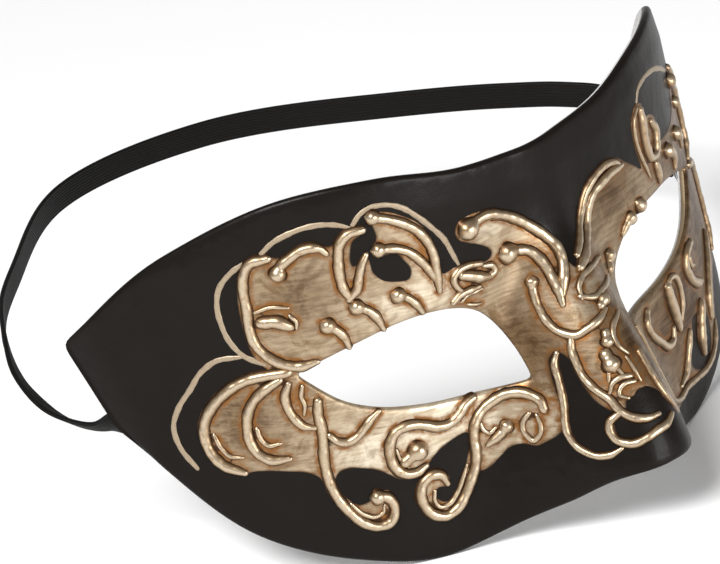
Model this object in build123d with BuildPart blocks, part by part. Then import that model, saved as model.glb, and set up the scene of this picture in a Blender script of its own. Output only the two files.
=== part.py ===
"""Venetian half mask with raised piped scrollwork and an elastic strap.

Millimetres, +Z up, the face of the mask looks along -Y, X runs across it.
The origin is on the inside of the nose bridge, at the height of the eyes.

Ornament is laid out in the girth coordinates of the mask: p runs across the
mask from -100 (left temple) to 100 (right temple) along the curved surface
and z is the height.  point_on_mask() turns such a pair into a point in space.
"""
import math
import os

from build123d import *

# ---- the curved mask surface -------------------------------------------------
HALF_WIDTH = 95.0          # centre line to temple end
TEMPLE_TURN = 50.0         # degrees of the sine that spreads the girth
WRAP_DEPTH = 67.0          # how far the temples run back from the brow
WRAP_POWER = 1.3           # flat brow, faster turn towards the temples
LEAN = 0.005               # the upper part wraps a little deeper, per mm
NOSE_ROOT_Z = 17.0         # where the nose starts to rise out of the brow
NOSE_FOOT_Z = -45.0
NOSE_HEIGHT = 36.5
NOSE_WIDTH_ROOT = 7.2
NOSE_WIDTH_FOOT = 23.4
NOSE_POWER = 2.5
NOSE_ONSET = 0.02          # softness of the nose root
SETBACK = 14.3             # puts the inner nose bridge on the origin

# ---- thicknesses -------------------------------------------------------------
SHELL_THICKNESS = 2.0
LINING_THICKNESS = 0.5
LEAF_THICKNESS = 0.3
PAD_THICKNESS = 1.0
STRAP_THICKNESS = 1.2
STRAP_WIDTH = 7.2
BEAD_LIFT = 0.25           # bead centre above the surface, as a share of its radius
GILT_RADIUS = 0.55         # flat painted line
GILT_LIFT = -0.35

# ---- the grid of points that carries the surface ------------------------------
GRID_STEP_P = 3.5
GRID_STEP_Z = 4.0
WHOLE_P = (-112.0, 112.0)
WHOLE_Z = (-60.0, 56.0)
GRID_MARGIN = 12.0         # a part face reaches this far past the outline it serves

PRISM_FRONT = 60.0         # outlines are drawn on a plane this far in front
PRISM_LENGTH = 220.0
PATCH_REACH = 114.0        # side-view outlines are pushed this far across

# ---- strap, its hinge and its glued ends -----------------------------------------
HINGE_X = 85.1
HINGE_Y = 70.0
HINGE_Z = -10.0
STRAP_TILT = 5.0           # degrees, the loop rises towards the back of the head
HINGE_DISC = 1.32          # thickness of the round end of the loop
TAB_START = 57.5           # y where the glued strap end begins
TAB_GAP = 4.2              # it stops this far in front of the hinge
PAD_OUTLINE = (10.0, 12.0)         # along the temple, up the temple
PAD_CORNER = 3.0
PAD_CENTRE = (60.8, -10.0)         # y, z
# Corners of the loop seen from above: x, and how far behind the hinge.
STRAP_PATH = [(-HINGE_X, 0), (-87.6, 13), (-94, 34), (-80, 64), (-16, 106), (50, 76), (96, 38),
              (87.6, 13), (HINGE_X, 0)]
STRAP_BENDS = [20, 12, 40, 40, 60, 16, 20]        # bend radius at each inner corner


def surface(p, z, lift=0.0):
    """Point of the outer mask face at girth p and height z, raised by lift."""
    x, y = plain_surface(p, z)
    if lift == 0.0:
        return Vector(x, y, z)
    return Vector(x, y, z) + outward(p, z) * lift


def plain_surface(p, z):
    turn = math.radians(TEMPLE_TURN)
    angle = turn * p / 100
    x = HALF_WIDTH * math.sin(angle) / math.sin(turn)
    wrap = ((1 - math.cos(angle)) / (1 - math.cos(turn))) ** WRAP_POWER
    drop = (NOSE_ROOT_Z - z) / (NOSE_ROOT_Z - NOSE_FOOT_Z)
    drop = (drop + math.sqrt(drop * drop + NOSE_ONSET)) / 2
    height = NOSE_HEIGHT * math.sin(math.pi / 2 * min(drop, 1.0))
    width = NOSE_WIDTH_ROOT + (NOSE_WIDTH_FOOT - NOSE_WIDTH_ROOT) * drop
    nose = height * math.exp(-abs(x / width) ** NOSE_POWER)
    return x, WRAP_DEPTH * wrap * (1 + LEAN * z) - nose + SETBACK


def outward(p, z, step=0.1):
    """Unit normal of the mask face, pointing to the front."""
    xa, ya = plain_surface(p + step, z)
    xb, yb = plain_surface(p - step, z)
    yc = plain_surface(p, z + step)[1]
    yd = plain_surface(p, z - step)[1]
    across = Vector(xa - xb, ya - yb, 0)
    upward = Vector(0, yc - yd, 2 * step)
    return across.cross(upward).normalized()


def girth_x(p):
    """Front-view x of girth p."""
    return plain_surface(p, 0)[0]


def mirrored(points):
    return [(-p, z) for p, z in points]


def front(points):
    """Girth points as points of the front-view drawing plane."""
    return [(girth_x(p), z) for p, z in points]


def grid_lines(span, step):
    """Whole multiples of step that enclose a span."""
    first = math.floor(span[0] / step)
    last = math.ceil(span[1] / step)
    return [step * i for i in range(first, last + 1)]


def mask_face(depth, p_span=WHOLE_P, z_span=WHOLE_Z):
    """Mask surface at a depth below the outer face (negative: above it)."""
    heights = grid_lines(z_span, GRID_STEP_Z)
    rows = [[surface(p, z, -depth) for z in heights] for p in grid_lines(p_span, GRID_STEP_P)]
    return Face.make_surface_from_array_of_points(rows)


def face_under(outline, depth):
    """The part of the mask surface that reaches a little past a girth outline."""
    across = [p for p, z in outline]
    upward = [z for p, z in outline]
    return mask_face(depth, (min(across) - GRID_MARGIN, max(across) + GRID_MARGIN),
                     (min(upward) - GRID_MARGIN, max(upward) + GRID_MARGIN))


# ---- outlines -------------------------------------------------------------------
TOP_EDGE = [(0, 40.6), (20, 42.2), (40, 46.1), (60, 44.5), (80, 32.6), (100, 9.1), (103, 5.0)]
LOWER_EDGE = [(0, -33.8), (5, -34.1), (10, -35.4), (19.3, -42.6), (38.5, -52.5), (57.8, -48.1),
              (77.1, -38.4), (96.4, -11.3), (103, -1.5)]
END_TOP = (100, 9.1)
END_FOOT = (96.4, -11.3)
END_MIDDLE = (98, 0)
EYE_UPPER = [(-63, 1.5), (-55, 5), (-48, 7.5), (-40, 9.5), (-33, 9.7), (-27, 8.5), (-22, 6),
             (-18, 1), (-16, -5), (-15.4, -13)]
EYE_UPPER_RIGHT = [(63, 1.5), (57, 3.8), (51, 6.2), (45, 8), (38, 8.4), (31, 7.9), (25, 5.8),
                   (20.5, 1.5), (17, -4), (15.4, -13)]
EYE_LOWER = [(-15.4, -13), (-20, -14.2), (-30, -14), (-40, -12.5), (-48, -10.5), (-55, -7),
             (-60, -2), (-63, 1.5)]
EYE_CORNER = 1.5
EYE_CORNER_LINING = 2.5    # the coat is brushed a little rounder into the corners


def outline_sketch():
    top = [(-p, z) for p, z in reversed(TOP_EDGE[1:])] + TOP_EDGE
    low = [(-p, z) for p, z in reversed(LOWER_EDGE[1:])] + LOWER_EDGE
    with BuildSketch(Plane.XZ.offset(PRISM_FRONT)) as sketch:
        with BuildLine():
            Spline(*front(top))
            Spline(*front(low))
            Line(front(top)[0], front(low)[0])
            Line(front(top)[-1], front(low)[-1])
        make_face()
    return sketch.sketch


def eye_sketch(side, corner):
    """Almond eye opening; side is -1 for the left of the drawing, 1 for the right."""
    with BuildSketch(Plane.XZ.offset(PRISM_FRONT)) as sketch:
        with BuildLine():
            Spline(*front(EYE_UPPER if side < 0 else EYE_UPPER_RIGHT))
            Spline(*front(EYE_LOWER if side < 0 else mirrored(EYE_LOWER)))
        make_face()
        fillet(sketch.vertices(), corner)
    return sketch.sketch


def patch_sketch(points):
    with BuildSketch(Plane.XZ.offset(PRISM_FRONT)) as sketch:
        with BuildLine():
            Polyline(*front(points), close=True)
        make_face()
    return sketch.sketch


def end_plane(side):
    """Plane square to the mask along a temple end."""
    top = surface(side * END_TOP[0], END_TOP[1])
    foot = surface(side * END_FOOT[0], END_FOOT[1])
    across = (foot - top).cross(outward(side * END_MIDDLE[0], END_MIDDLE[1]))
    if across.X * side < 0:
        across = across * -1
    return Plane(origin=top, x_dir=foot - top, z_dir=across)


def layer(outer_face, inner_face, outline):
    """Solid between two mask faces inside a front-view outline."""
    with BuildPart() as block:
        extrude(outline, amount=-PRISM_LENGTH)
        split(bisect_by=outer_face, keep=Keep.BOTH)
        split(bisect_by=inner_face, keep=Keep.BOTH)
    return block.solids().sort_by(SortBy.VOLUME)[0]


def open_eyes(corner=EYE_CORNER):
    """Cut the two eye openings through the part being built."""
    for side in (-1, 1):
        extrude(eye_sketch(side, corner), amount=-PRISM_LENGTH, mode=Mode.SUBTRACT)


def skin(outer_face, inner_face, corner):
    """One layer of the whole mask, open at the eyes and cut square at the temples."""
    with BuildPart() as whole:
        add(layer(outer_face, inner_face, outline_sketch()))
        open_eyes(corner)
        for side in (-1, 1):
            split(bisect_by=end_plane(side), keep=Keep.BOTTOM)
    return whole.part


# ---- leaf fields: champagne leaf laid on the lacquer, outlines in girth coordinates ----
LEAF_FIELDS = {
    "leaf_brow_left": [
        (-63, 1.5), (-66, 2.4), (-68.8, 5), (-70, 10), (-70.2, 15), (-69.7, 23), (-68.8, 28),
        (-67, 31), (-64.5, 32.3), (-60.5, 31.4), (-58.5, 33), (-56, 34.2), (-53.5, 33.9),
        (-51.8, 32.6), (-50.6, 33), (-49.5, 34.9), (-47.5, 36.1), (-44.8, 36.2), (-44.3, 34.3),
        (-46.5, 33), (-47.7, 30), (-47.6, 26.5), (-46.2, 27.5), (-44.8, 29.4), (-44.2, 27),
        (-43.9, 24), (-42.3, 21.5), (-39.5, 20.3), (-36.6, 20.2), (-36, 21.8), (-37.2, 25),
        (-38.8, 27.3), (-41, 27.4), (-43.3, 28.4), (-43.2, 30.2), (-42.4, 31.4), (-42.6, 35.6),
        (-43.4, 37.2), (-42.2, 38.9), (-39.5, 38.4), (-36, 36.3), (-33, 33.7), (-30.8, 30.3),
        (-29.5, 26), (-29.1, 21.5), (-28.9, 18.8), (-25.5, 19.2), (-22.5, 18.8), (-19.5, 17.8),
        (-17.2, 17.6), (-16.2, 18.6), (-16.8, 20.2), (-18.8, 22), (-21.5, 23.6), (-23.8, 25.2),
        (-24.6, 27.6), (-23.6, 29.7), (-21, 30.6), (-17, 30.3), (-12.8, 28.8), (-8.8, 26),
        (-5, 22.4), (-2.2, 18.2), (-0.6, 14.6), (-0.8, 11.5), (0, 9.8), (0, 2), (-20, 2), (-40, 4)],
    "leaf_nose_left": [
        (0, 2), (-20, 2), (-18, -12.5), (-15.4, -13.2), (-15.2, -25), (-14.9, -22), (-13.9, -19),
        (-13.2, -15), (-12.6, -11), (-11.7, -8), (-10.6, -6.8), (-9.9, -8), (-10, -11),
        (-9.9, -15), (-9.4, -18), (-8.6, -19.5), (-7.2, -20.6), (-6, -19.6), (-5.3, -18),
        (-3.3, -17), (-2.4, -16.3), (0, -16.3)],
    "leaf_cheek_left": [
        (-63, 1.5), (-66, 2.4), (-69, 3.4), (-72.5, 2.7), (-75, 1), (-78, -1.6), (-80.5, -5),
        (-82.3, -9), (-82.8, -14), (-82.2, -18.3), (-80.2, -21.2), (-77.3, -22.6), (-75, -21.8),
        (-72, -21.9), (-68, -22.6), (-64.8, -23.5), (-62.9, -25), (-62.3, -28), (-61, -32.5),
        (-58.9, -36.8), (-56.4, -39.7), (-53.3, -41.2), (-50.6, -41), (-48.6, -39.3),
        (-47.8, -36.6), (-48.1, -33.6), (-49.7, -31.4), (-51.6, -31.3), (-53.4, -33), (-56, -33.6),
        (-58, -31.8), (-59.3, -29), (-59.7, -26.3), (-58.8, -24.6), (-56.8, -24), (-54, -24.6),
        (-51, -25.9), (-48.6, -27.8), (-46.6, -29.6), (-44.5, -30.3), (-41.7, -29.9),
        (-39.8, -28.4), (-37.6, -26.2), (-35, -24.6), (-32, -23.5), (-29.6, -23.2), (-29.4, -26),
        (-29, -31), (-28.6, -33.4), (-27, -32.8), (-24.5, -30.5), (-22.5, -28.5), (-20.7, -27.9),
        (-19, -28.4), (-17.5, -27.4), (-16.2, -26.2), (-15.2, -25), (-15.4, -13.2), (-18, -12.5),
        (-40, -8)],
    "leaf_scroll_left": [
        (-29.6, -27), (-31.6, -31.5), (-33.3, -35), (-35.3, -37.8), (-37.3, -38.6), (-38.7, -37.5),
        (-39.1, -35.6), (-38, -34.7), (-36.3, -35), (-35.2, -33), (-36.3, -31), (-38.6, -29.8),
        (-41.4, -30.8), (-43.4, -33.8), (-43.5, -37.4), (-42.2, -40.9), (-39.5, -43.1),
        (-36.3, -43.2), (-33.3, -41), (-30.8, -37), (-28.8, -32.5)],
    "leaf_brow_right": [
        (0, 2), (0, 9.8), (3, 12.6), (7, 15.8), (10, 19.2), (13, 23), (17, 25.8), (21, 26.6),
        (24.5, 25), (27, 22.8), (31, 19.5), (33, 17.6), (32, 22.5), (31.4, 27), (32.2, 31.6),
        (34.8, 33.8), (37.6, 32.6), (38.4, 29), (41, 28), (43.4, 26), (44.2, 22.5), (44.3, 19.4),
        (47, 18.6), (51, 18.2), (55, 18.6), (59, 20.5), (60.5, 24), (61.2, 26.6), (64.5, 27.4),
        (68.5, 25), (71.5, 20.5), (73.4, 14.5), (73.8, 8), (72, 2), (66, 0.5), (63, 1.5), (40, 4),
        (20, 2)],
    "leaf_nose_right": [
        (0, 2), (20, 2), (18, -12.5), (15.6, -13.2), (16.5, -20), (20, -32), (24.5, -41),
        (18, -36), (11, -29), (6, -25.6), (4.8, -23.5), (4.1, -21.5), (2.5, -18.3), (0.6, -16.6),
        (0, -16.3)],
    "leaf_cheek_right": [
        (63, 1.5), (66, 0.5), (72, 0.5), (75.5, -2.5), (78.5, -8), (79.8, -14), (79.6, -20),
        (78, -25.5), (74.5, -29), (68.5, -30), (64, -33.5), (60.5, -39), (56.5, -43.8),
        (50.4, -46), (43.5, -45.8), (37.5, -45), (32, -45.3), (28, -44), (24.5, -41), (20, -32),
        (16.5, -20), (15.6, -13.2), (18, -12.5), (40, -8)],
}
BARE_PATCH_RIGHT = [(46.5, -30), (50, -30.5), (54, -32), (55.5, -36), (54.5, -41), (50.5, -44),
                    (45, -43), (42.6, -41), (43.8, -36), (45, -33)]

# ---- piped relief: name -> strokes of (radius, start ball, end ball, path) -------------
# A ball of 0 closes the stroke with its own round end.
RELIEF = {
    "petal_rim_left": [
        (1.0, 0, 0, [(-63.4, 31.3), (-66, 30.7), (-67.6, 28), (-68.4, 24), (-68.6, 19), (-69, 14.5),
                     (-68.7, 10.5), (-67.2, 7.2), (-64.6, 4.7), (-61.5, 3.7), (-58.8, 4.2)]),
        (1.3, 0, 0, [(-66.2, 15.6), (-64, 15.5), (-62.3, 14.3)]),
        (0.45, 0, 0, [(-67.4, 18.2), (-64.5, 19.2), (-61.6, 18.7)])],
    "petal_crest_left": [
        (1.0, 1.45, 0, [(-61.9, 27.3), (-61, 29.3), (-59, 31.1), (-57, 32.5), (-55, 32.9),
                        (-53.4, 32.4), (-52.6, 31.3)])],
    "v_bead_left": [
        (1.0, 0, 0, [(-44.9, 35.1), (-47.3, 34.9), (-49.3, 33), (-50.2, 29.5), (-50.6, 25),
                     (-50.3, 21), (-49.5, 18.7)]),
        (0.9, 0, 0, [(-49.5, 18.7), (-47.9, 20.5), (-46.9, 23.8), (-45.9, 26.6), (-44.9, 28.4)])],
    "lid_commas_left": [
        (0.9, 1.4, 0, [(-54.8, 12.8), (-53.3, 11.4), (-52.1, 9.3), (-51.6, 7.0)]),
        (0.9, 1.35, 0, [(-48.5, 16.2), (-46.6, 15), (-45, 12.8), (-44, 9.6)]),
        (0.85, 1.35, 0, [(-39.7, 16.7), (-38, 15.7), (-36.4, 13.8), (-35, 10.9)])],
    "fan_beads_left": [
        (0.95, 1.3, 0, [(-42.1, 37.6), (-39.5, 36.5), (-36.2, 34.4), (-33.5, 31.8), (-31.6, 28.6),
                        (-30.5, 24.8), (-30.3, 20), (-30.3, 15)]),
        (0.9, 1.3, 0, [(-42, 29.2), (-39, 28.7), (-36.2, 27.1), (-34, 24.5), (-32.3, 21.5),
                       (-30.9, 18)])],
    "brow_curl_left": [
        (0.75, 0, 0, [(-19.5, 17.5), (-22.3, 18.2), (-25, 18), (-26.6, 16.4), (-26.2, 14.2),
                      (-24.9, 12.3)]),
        (1.15, 0, 0, [(-24.2, 16.3), (-22.2, 15.4), (-20, 14.2), (-17.8, 13.4)]),
        (0.75, 0, 0, [(-17.8, 13.4), (-16.1, 14.3), (-16.6, 15.8), (-18.4, 16.5)]),
        (0.8, 0, 0, [(-27.4, 10.6), (-25.8, 11.7), (-23.5, 12), (-20.8, 11.9)])],
    "brow_scroll_left": [
        (1.05, 1.9, 0, [(-21.4, 27.3), (-19, 28.5), (-16, 28.8), (-12.5, 27.3), (-9, 24.9),
                        (-5.8, 21.7), (-3.2, 18.2), (-1.8, 15), (-2.2, 12), (-3.7, 9), (-5.2, 6)]),
        (1.05, 1.85, 0, [(-12.2, 17.1), (-9.5, 16.9), (-7.4, 16), (-6, 13.6), (-5.6, 10),
                         (-5.7, 6.5), (-6.2, 4)])],
    "nose_frame": [
        (0.85, 1.15, 0, [(-9, 9), (-9.5, 6.5), (-9.8, 3), (-9.7, 0), (-8.9, -2.3), (-7.5, -3.2),
                         (-4.8, -2), (-2.2, -0.9), (0.5, 0.3)]),
        (0.85, 0, 0, [(-7.8, -3.4), (-8.7, -6.3), (-9.1, -9.5), (-9.2, -12.5), (-8.6, -15.2),
                      (-7.5, -17.4), (-7.1, -19.6), (-5.8, -21.5), (-3.5, -22.4), (-0.5, -22.6)]),
        (0.85, 0, 0, [(-7.4, -20.6), (-9, -22.3), (-9.6, -24.8), (-9.2, -26.7), (-7.6, -27.5),
                      (-5, -26.7), (-2, -25.7), (1, -25.3), (3, -24.4)])],
    "nose_drops": [
        (0.95, 1.15, 0, [(-2.9, -5.3), (-2.3, -3.8)]),
        (1.2, 1.55, 0, [(-4.5, -9.7), (-4.5, -8.0)]),
        (0.45, 0, 0, [(-5.8, -11.7), (-6.3, -13.4)]),
        (0.45, 0, 0, [(-3.5, -11.8), (-3.2, -13.4)])],
    "nose_curl": [
        (0.6, 0, 0, [(-2.2, -13.1), (-4.3, -12.9), (-6, -14), (-7, -15.8)]),
        (0.5, 0, 0, [(-2, -14.4), (-3.9, -14.3), (-5.3, -15.3), (-5.8, -16.6), (-4.9, -17.3)])],
    "side_bead_left": [
        (0.75, 0, 0, [(-10.8, -7.2), (-11.7, -9.3), (-12.3, -12.7), (-12.9, -16.3), (-13.6, -19.8),
                      (-14.4, -23), (-14.7, -26), (-14.1, -28.8), (-12.6, -30.3), (-11, -30),
                      (-9.5, -28.8)])],
    "temple_petal_left": [
        (1.05, 0, 0, [(-64.4, 2.5), (-67.5, 2.3), (-71, 1.7), (-74, 0.2), (-76.8, -2.3),
                      (-79.3, -5.5), (-81, -9), (-81.7, -13), (-81.2, -17), (-79.6, -19.9),
                      (-77, -21.5)]),
        (0.5, 0, 0, [(-80, -12), (-79.4, -15.3), (-78.2, -17.5), (-76.4, -17.9)])],
    "temple_crescent_left": [
        (1.0, 0, 0, [(-66.3, 0.6), (-68.8, -1.1), (-71.2, -3.5), (-72.9, -6.6), (-73.8, -10.3),
                     (-74, -14), (-73, -17.4), (-71, -19.1), (-68.2, -19.2)]),
        (0.55, 0, 0, [(-72.2, -11), (-71.9, -13.8), (-70.8, -15.4), (-68.9, -15.2)])],
    "temple_loop_left": [
        (0.9, 0, 0, [(-64.6, -0.6), (-65.6, -3), (-65.7, -6.2), (-64.9, -9.2), (-63.4, -11.5),
                     (-61.9, -12.1)]),
        (0.5, 0, 0, [(-62.1, -1.4), (-62.7, -4), (-62.4, -6.2), (-62.9, -8.4)])],
    "stem_left": [
        (1.0, 0, 1.35, [(-59.8, -5.7), (-60.3, -9), (-60.2, -12.6), (-60.5, -16), (-61, -19.5),
                        (-61.2, -23.5), (-60.9, -27.5), (-59.9, -31.5), (-58.2, -35.2),
                        (-56, -38.3), (-53, -40.1), (-50.3, -39.8), (-48.9, -37.6), (-49, -34.8),
                        (-50.3, -33), (-51.9, -32.7)]),
        (0.5, 0, 0, [(-57.6, -33.2), (-55.7, -36.1), (-53.2, -37.5), (-51.4, -36.9),
                     (-50.9, -35.2)])],
    "garland_left": [
        (0.85, 0, 0, [(-58.9, -14.9), (-57.6, -16.6), (-55.7, -17.2), (-53.6, -16.3),
                      (-51.7, -14.4), (-49.9, -12.4), (-48.4, -11.3)])],
    "cheek_wave_left": [
        (1.05, 0, 0, [(-26.8, -15.2), (-28.6, -16), (-30.6, -18), (-33.2, -19.4), (-36.2, -19.1),
                      (-39.2, -17.5), (-42.4, -16.6), (-45.3, -17.3), (-47, -19.7), (-47.5, -23),
                      (-46.9, -26.4), (-45, -28.6), (-42.3, -29), (-40.5, -28.2)])],
    "cheek_drop_left": [
        (1.25, 1.8, 0, [(-41.3, -23.6), (-42.8, -24.4), (-44.4, -25.4)])],
    "cheek_scroll_left": [
        (1.05, 0, 0, [(-15.9, -19.6), (-15.9, -17.6), (-17.3, -16.1), (-19.6, -15.9), (-22.6, -17),
                      (-25.4, -18.8), (-27.4, -21.5), (-28.3, -25), (-28.6, -28.5), (-29.5, -32),
                      (-31, -35), (-32.8, -38.2), (-35, -41), (-37.8, -42.2), (-40.4, -41),
                      (-42, -38.2), (-42.4, -34.7), (-41.2, -32), (-38.9, -30.9), (-37, -31.8),
                      (-36.2, -33.8)]),
        (0.5, 0, 0, [(-39.2, -35.2), (-39.6, -37.4), (-38.6, -39.6), (-36.6, -39.5),
                     (-34.4, -37.3), (-32.7, -34.4), (-31.1, -31.2)])],
    "cheek_ear_left": [
        (0.6, 0, 0, [(-18.1, -20.9), (-19.3, -22.7), (-19.8, -25.3), (-19.1, -27.1), (-18, -25.8),
                     (-17.3, -23.4), (-17.2, -21.4)])],
    "cheek_seed_left": [
        (0.95, 1.25, 0, [(-21.9, -23.5), (-22.9, -24.8), (-24.3, -26.1), (-25.6, -27)]),
        (0.5, 0, 0, [(-26.3, -21.8), (-26, -23.6), (-25, -24.6), (-23.8, -23.6)])],
    "brow_petal_right": [
        (1.05, 0, 0, [(1.2, 9.6), (4, 10.6), (7, 11.5), (9.3, 12.7), (11, 15.2), (12.4, 18.3),
                      (14.6, 20.6), (17.8, 21.9), (21.5, 22.8), (25, 22.6)]),
        (0.8, 0, 0, [(2.2, 11.9), (6.6, 14.7), (9.6, 17.9), (12.5, 21.8), (16.3, 24.4), (20.5, 25.3),
                     (23.8, 24), (25, 22.6)])],
    "v_bead_right": [
        (0.5, 0, 0, [(35, 32.6), (33.2, 30.8), (32.5, 27), (33.3, 21.8), (35.1, 17), (36.5, 13.6)]),
        (1.05, 0, 0, [(36.2, 31.4), (36.3, 28.2), (36.2, 25), (36.6, 21.3), (38, 18), (40.2, 17.7),
                      (41.8, 20.4), (42.3, 23.2), (40.9, 25.8)])],
    "lid_commas_right": [
        (0.95, 0, 0, [(39.9, 15.4), (40.4, 12.8), (40.6, 10.6)]),
        (1.0, 1.4, 0, [(47.5, 14.6), (49.8, 13), (51.3, 10.6), (51.1, 8.6)]),
        (1.0, 1.35, 0, [(56.5, 14), (59.3, 11.8), (60.6, 8.6)]),
        (0.85, 1.15, 0, [(63.3, 18.2), (65.6, 16.3)])],
    "fan_beads_right": [
        (1.05, 1.4, 0, [(61.7, 24.8), (65, 21.5), (67.6, 16.5), (68.9, 10.5), (68.6, 5), (66.8, 1.8)]),
        (1.0, 0, 0, [(65.5, 25.8), (69.3, 21), (71.4, 15), (71.9, 9), (70.7, 3.8)])],
    "lid_drops_right": [
        (0.9, 1.3, 0, [(26, 8.2), (24.2, 7.2), (22.8, 5.8)]),
        (1.1, 1.35, 0, [(30.3, 9.3), (29.8, 10)]),
        (0.95, 1.3, 0, [(16.4, 3.2), (15, 0.6)])],
    "bridge_leaf_right": [
        (0.65, 0, 0, [(11.3, 5.6), (7, 7.3), (3, 8.2), (0, 7.8), (-2, 6.2), (-2.6, 4.4)]),
        (0.65, 0, 0, [(-2.6, 4.4), (0, 3.4), (3, 3.7), (7.5, 2.6), (11, 1.2)])],
    "bridge_drop": [
        (0.9, 1.15, 0, [(1.6, 2), (0.4, 1.5)])],
    "temple_petal_right": [
        (1.0, 0, 0, [(66, 0), (70.5, -2), (73.8, -6), (75.8, -11.5), (77, -17.5), (77.1, -23),
                     (75.4, -27.4)])],
    "cheek_bead_right": [
        (1.0, 0, 0, [(67, -19), (63.6, -23), (60.5, -27), (58.2, -31), (57.6, -35.5)])],
    "cheek_curl_right": [
        (1.05, 0, 0, [(51.7, -12.6), (48.4, -13), (46.8, -15.8), (48, -19.5), (51.6, -23.2),
                      (55, -24.8)]),
        (0.55, 0, 0, [(50.2, -15.6), (50.4, -17.8), (52.3, -18.9)])],
    "cheek_petal_right": [
        (1.25, 0, 0, [(36.4, -16.2), (36.9, -19.7), (38, -24.2), (39, -28.2)]),
        (0.7, 0, 0, [(36.4, -16.2), (38.2, -14.6), (40.4, -15.2), (42, -18.4), (42.3, -22.5),
                     (41, -27)])],
    "cheek_seed_right": [
        (0.95, 0, 0, [(26.6, -17.4), (25.2, -19.6), (26.3, -23.2), (29.6, -27), (33, -30),
                      (35.4, -29.6), (36.3, -27.5)])],
    "stem_right": [
        (1.15, 0, 0, [(52, -29), (50.3, -32.5), (49, -36.5), (49.3, -40.5)]),
        (0.85, 0, 0, [(43.5, -32), (41.8, -35), (40, -38.2), (38.2, -40.6), (35.5, -41.8)])],
    "hem_bead_right": [
        (0.75, 0, 0, [(16.5, -14.5), (18.5, -21), (21, -28), (24, -35), (27.6, -41), (32.5, -43.8),
                      (38, -43.8), (43.5, -44.5), (50.4, -44.9), (55.5, -43), (59.6, -38.5)])],
}

# ---- gilt lines: thin flat strokes painted around the petals -----------------------------
GILT_LINES = {
    "gilt_line_temple_left": [(-84.7, -20.3), (-86.4, -15.5), (-86.5, -10), (-84.6, -5),
                              (-81.8, -0.5), (-79, 4), (-76, 6.6), (-71.7, 7.3)],
    "gilt_line_petal_left": [(-67.9, 4.9), (-71.2, 7.5), (-73, 11.4), (-73.6, 16), (-73.4, 20.8),
                             (-72.2, 25), (-70, 28.2), (-66.9, 31)],
    "gilt_line_crest_left": [(-63.9, 32.7), (-61.8, 35), (-58.8, 36.8), (-55.5, 37.9), (-52, 38.1),
                             (-49.2, 37.4), (-47.1, 36.3)],
    "gilt_line_fan_left": [(-46.3, 36.7), (-44.6, 38.8), (-42.2, 39.9), (-39.2, 39.8), (-35.6, 38),
                           (-32.6, 34.8), (-29.6, 30.7), (-27.3, 27), (-25.9, 22.8),
                           (-24.8, 19.4)],
    "gilt_line_fan_right": [(35.7, 34), (37.2, 36.3), (41.1, 37.2), (47.3, 36), (54, 32.6),
                            (60, 28.6)],
    "gilt_line_temple_right": [(84.7, -20.3), (86.4, -15.5), (86.5, -10), (84.6, -5), (81.8, -0.5),
                               (79, 3), (75.8, 5.6)],
}

BALL_MARGIN = 1.03         # round end just larger than its stroke
BEND_SHARE = 0.45          # part of a run a bend may use
BEND_MAX = 40.0
STRAIGHT_ENOUGH = math.radians(1.5)


def bends(points):
    """Largest tidy bend radius at every inner corner of a path."""
    radii = []
    for before, corner, after in zip(points, points[1:], points[2:]):
        turn = max((corner - before).get_angle(after - corner), 0.01)
        run = BEND_SHARE * min((corner - before).length, (after - corner).length)
        radii.append(min(BEND_MAX, run / math.tan(math.radians(turn) / 2)))
    return radii


def raised(path, height):
    """Path in space at a height above the face, without corners that hardly turn."""
    points = [surface(p, z, height) for p, z in path]
    kept = [points[0]]
    for corner, after in zip(points[1:], points[2:]):
        if math.radians((corner - kept[-1]).get_angle(after - corner)) > STRAIGHT_ENOUGH:
            kept.append(corner)
    return kept + [points[-1]]


def pipe(radius, lift, path, start_ball=0.0, end_ball=0.0):
    """Add one piped stroke with round ends to the part being built."""
    points = raised(path, radius * lift)
    with BuildLine() as run:
        if len(points) > 2:
            FilletPolyline(*points, radius=bends(points))
        else:
            Line(*points)
    with BuildSketch(Plane(origin=run.line @ 0, z_dir=run.line % 0)) as profile:
        Circle(radius)
    sweep(sections=profile.sketch, path=run.line)
    ends = ((path[0], points[0], run.line % 0 * -1, start_ball),
            (path[-1], points[-1], run.line % 1, end_ball))
    for spot, end, away, ball in ends:
        with Locations(Plane(origin=end, x_dir=away, z_dir=away.cross(outward(*spot)))):
            Sphere(max(ball, radius * BALL_MARGIN))


def save(builder, name):
    builder.part.label = name
    export_step(builder.part, f"parts/{name}.step")


os.makedirs("parts", exist_ok=True)

outer_face = mask_face(0.0)
inner_face = mask_face(SHELL_THICKNESS)
lining_face = mask_face(SHELL_THICKNESS + LINING_THICKNESS)

# ---- shell and lining ----------------------------------------------------------------
with BuildPart() as mask_shell:
    add(skin(outer_face, inner_face, EYE_CORNER))
save(mask_shell, "mask_shell")

with BuildPart() as inner_lining:
    add(skin(inner_face, lining_face, EYE_CORNER_LINING))
save(inner_lining, "inner_lining")

# ---- leaf -------------------------------------------------------------------------------
for name, outline in LEAF_FIELDS.items():
    leaf_top = face_under(outline, -LEAF_THICKNESS)
    leaf_foot = face_under(outline, 0.0)
    with BuildPart() as leaf:
        add(layer(leaf_top, leaf_foot, patch_sketch(outline)))
        open_eyes()
        if name == "leaf_cheek_right":
            extrude(patch_sketch(BARE_PATCH_RIGHT), amount=-PRISM_LENGTH, mode=Mode.SUBTRACT)
    save(leaf, name)

# ---- piped relief and gilt lines -----------------------------------------------------------
for name, strokes in RELIEF.items():
    with BuildPart() as relief:
        for radius, start_ball, end_ball, path in strokes:
            pipe(radius, BEAD_LIFT, path, start_ball, end_ball)
    save(relief, name)

for name, path in GILT_LINES.items():
    with BuildPart() as gilt:
        pipe(GILT_RADIUS, GILT_LIFT, path)
    save(gilt, name)

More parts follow.
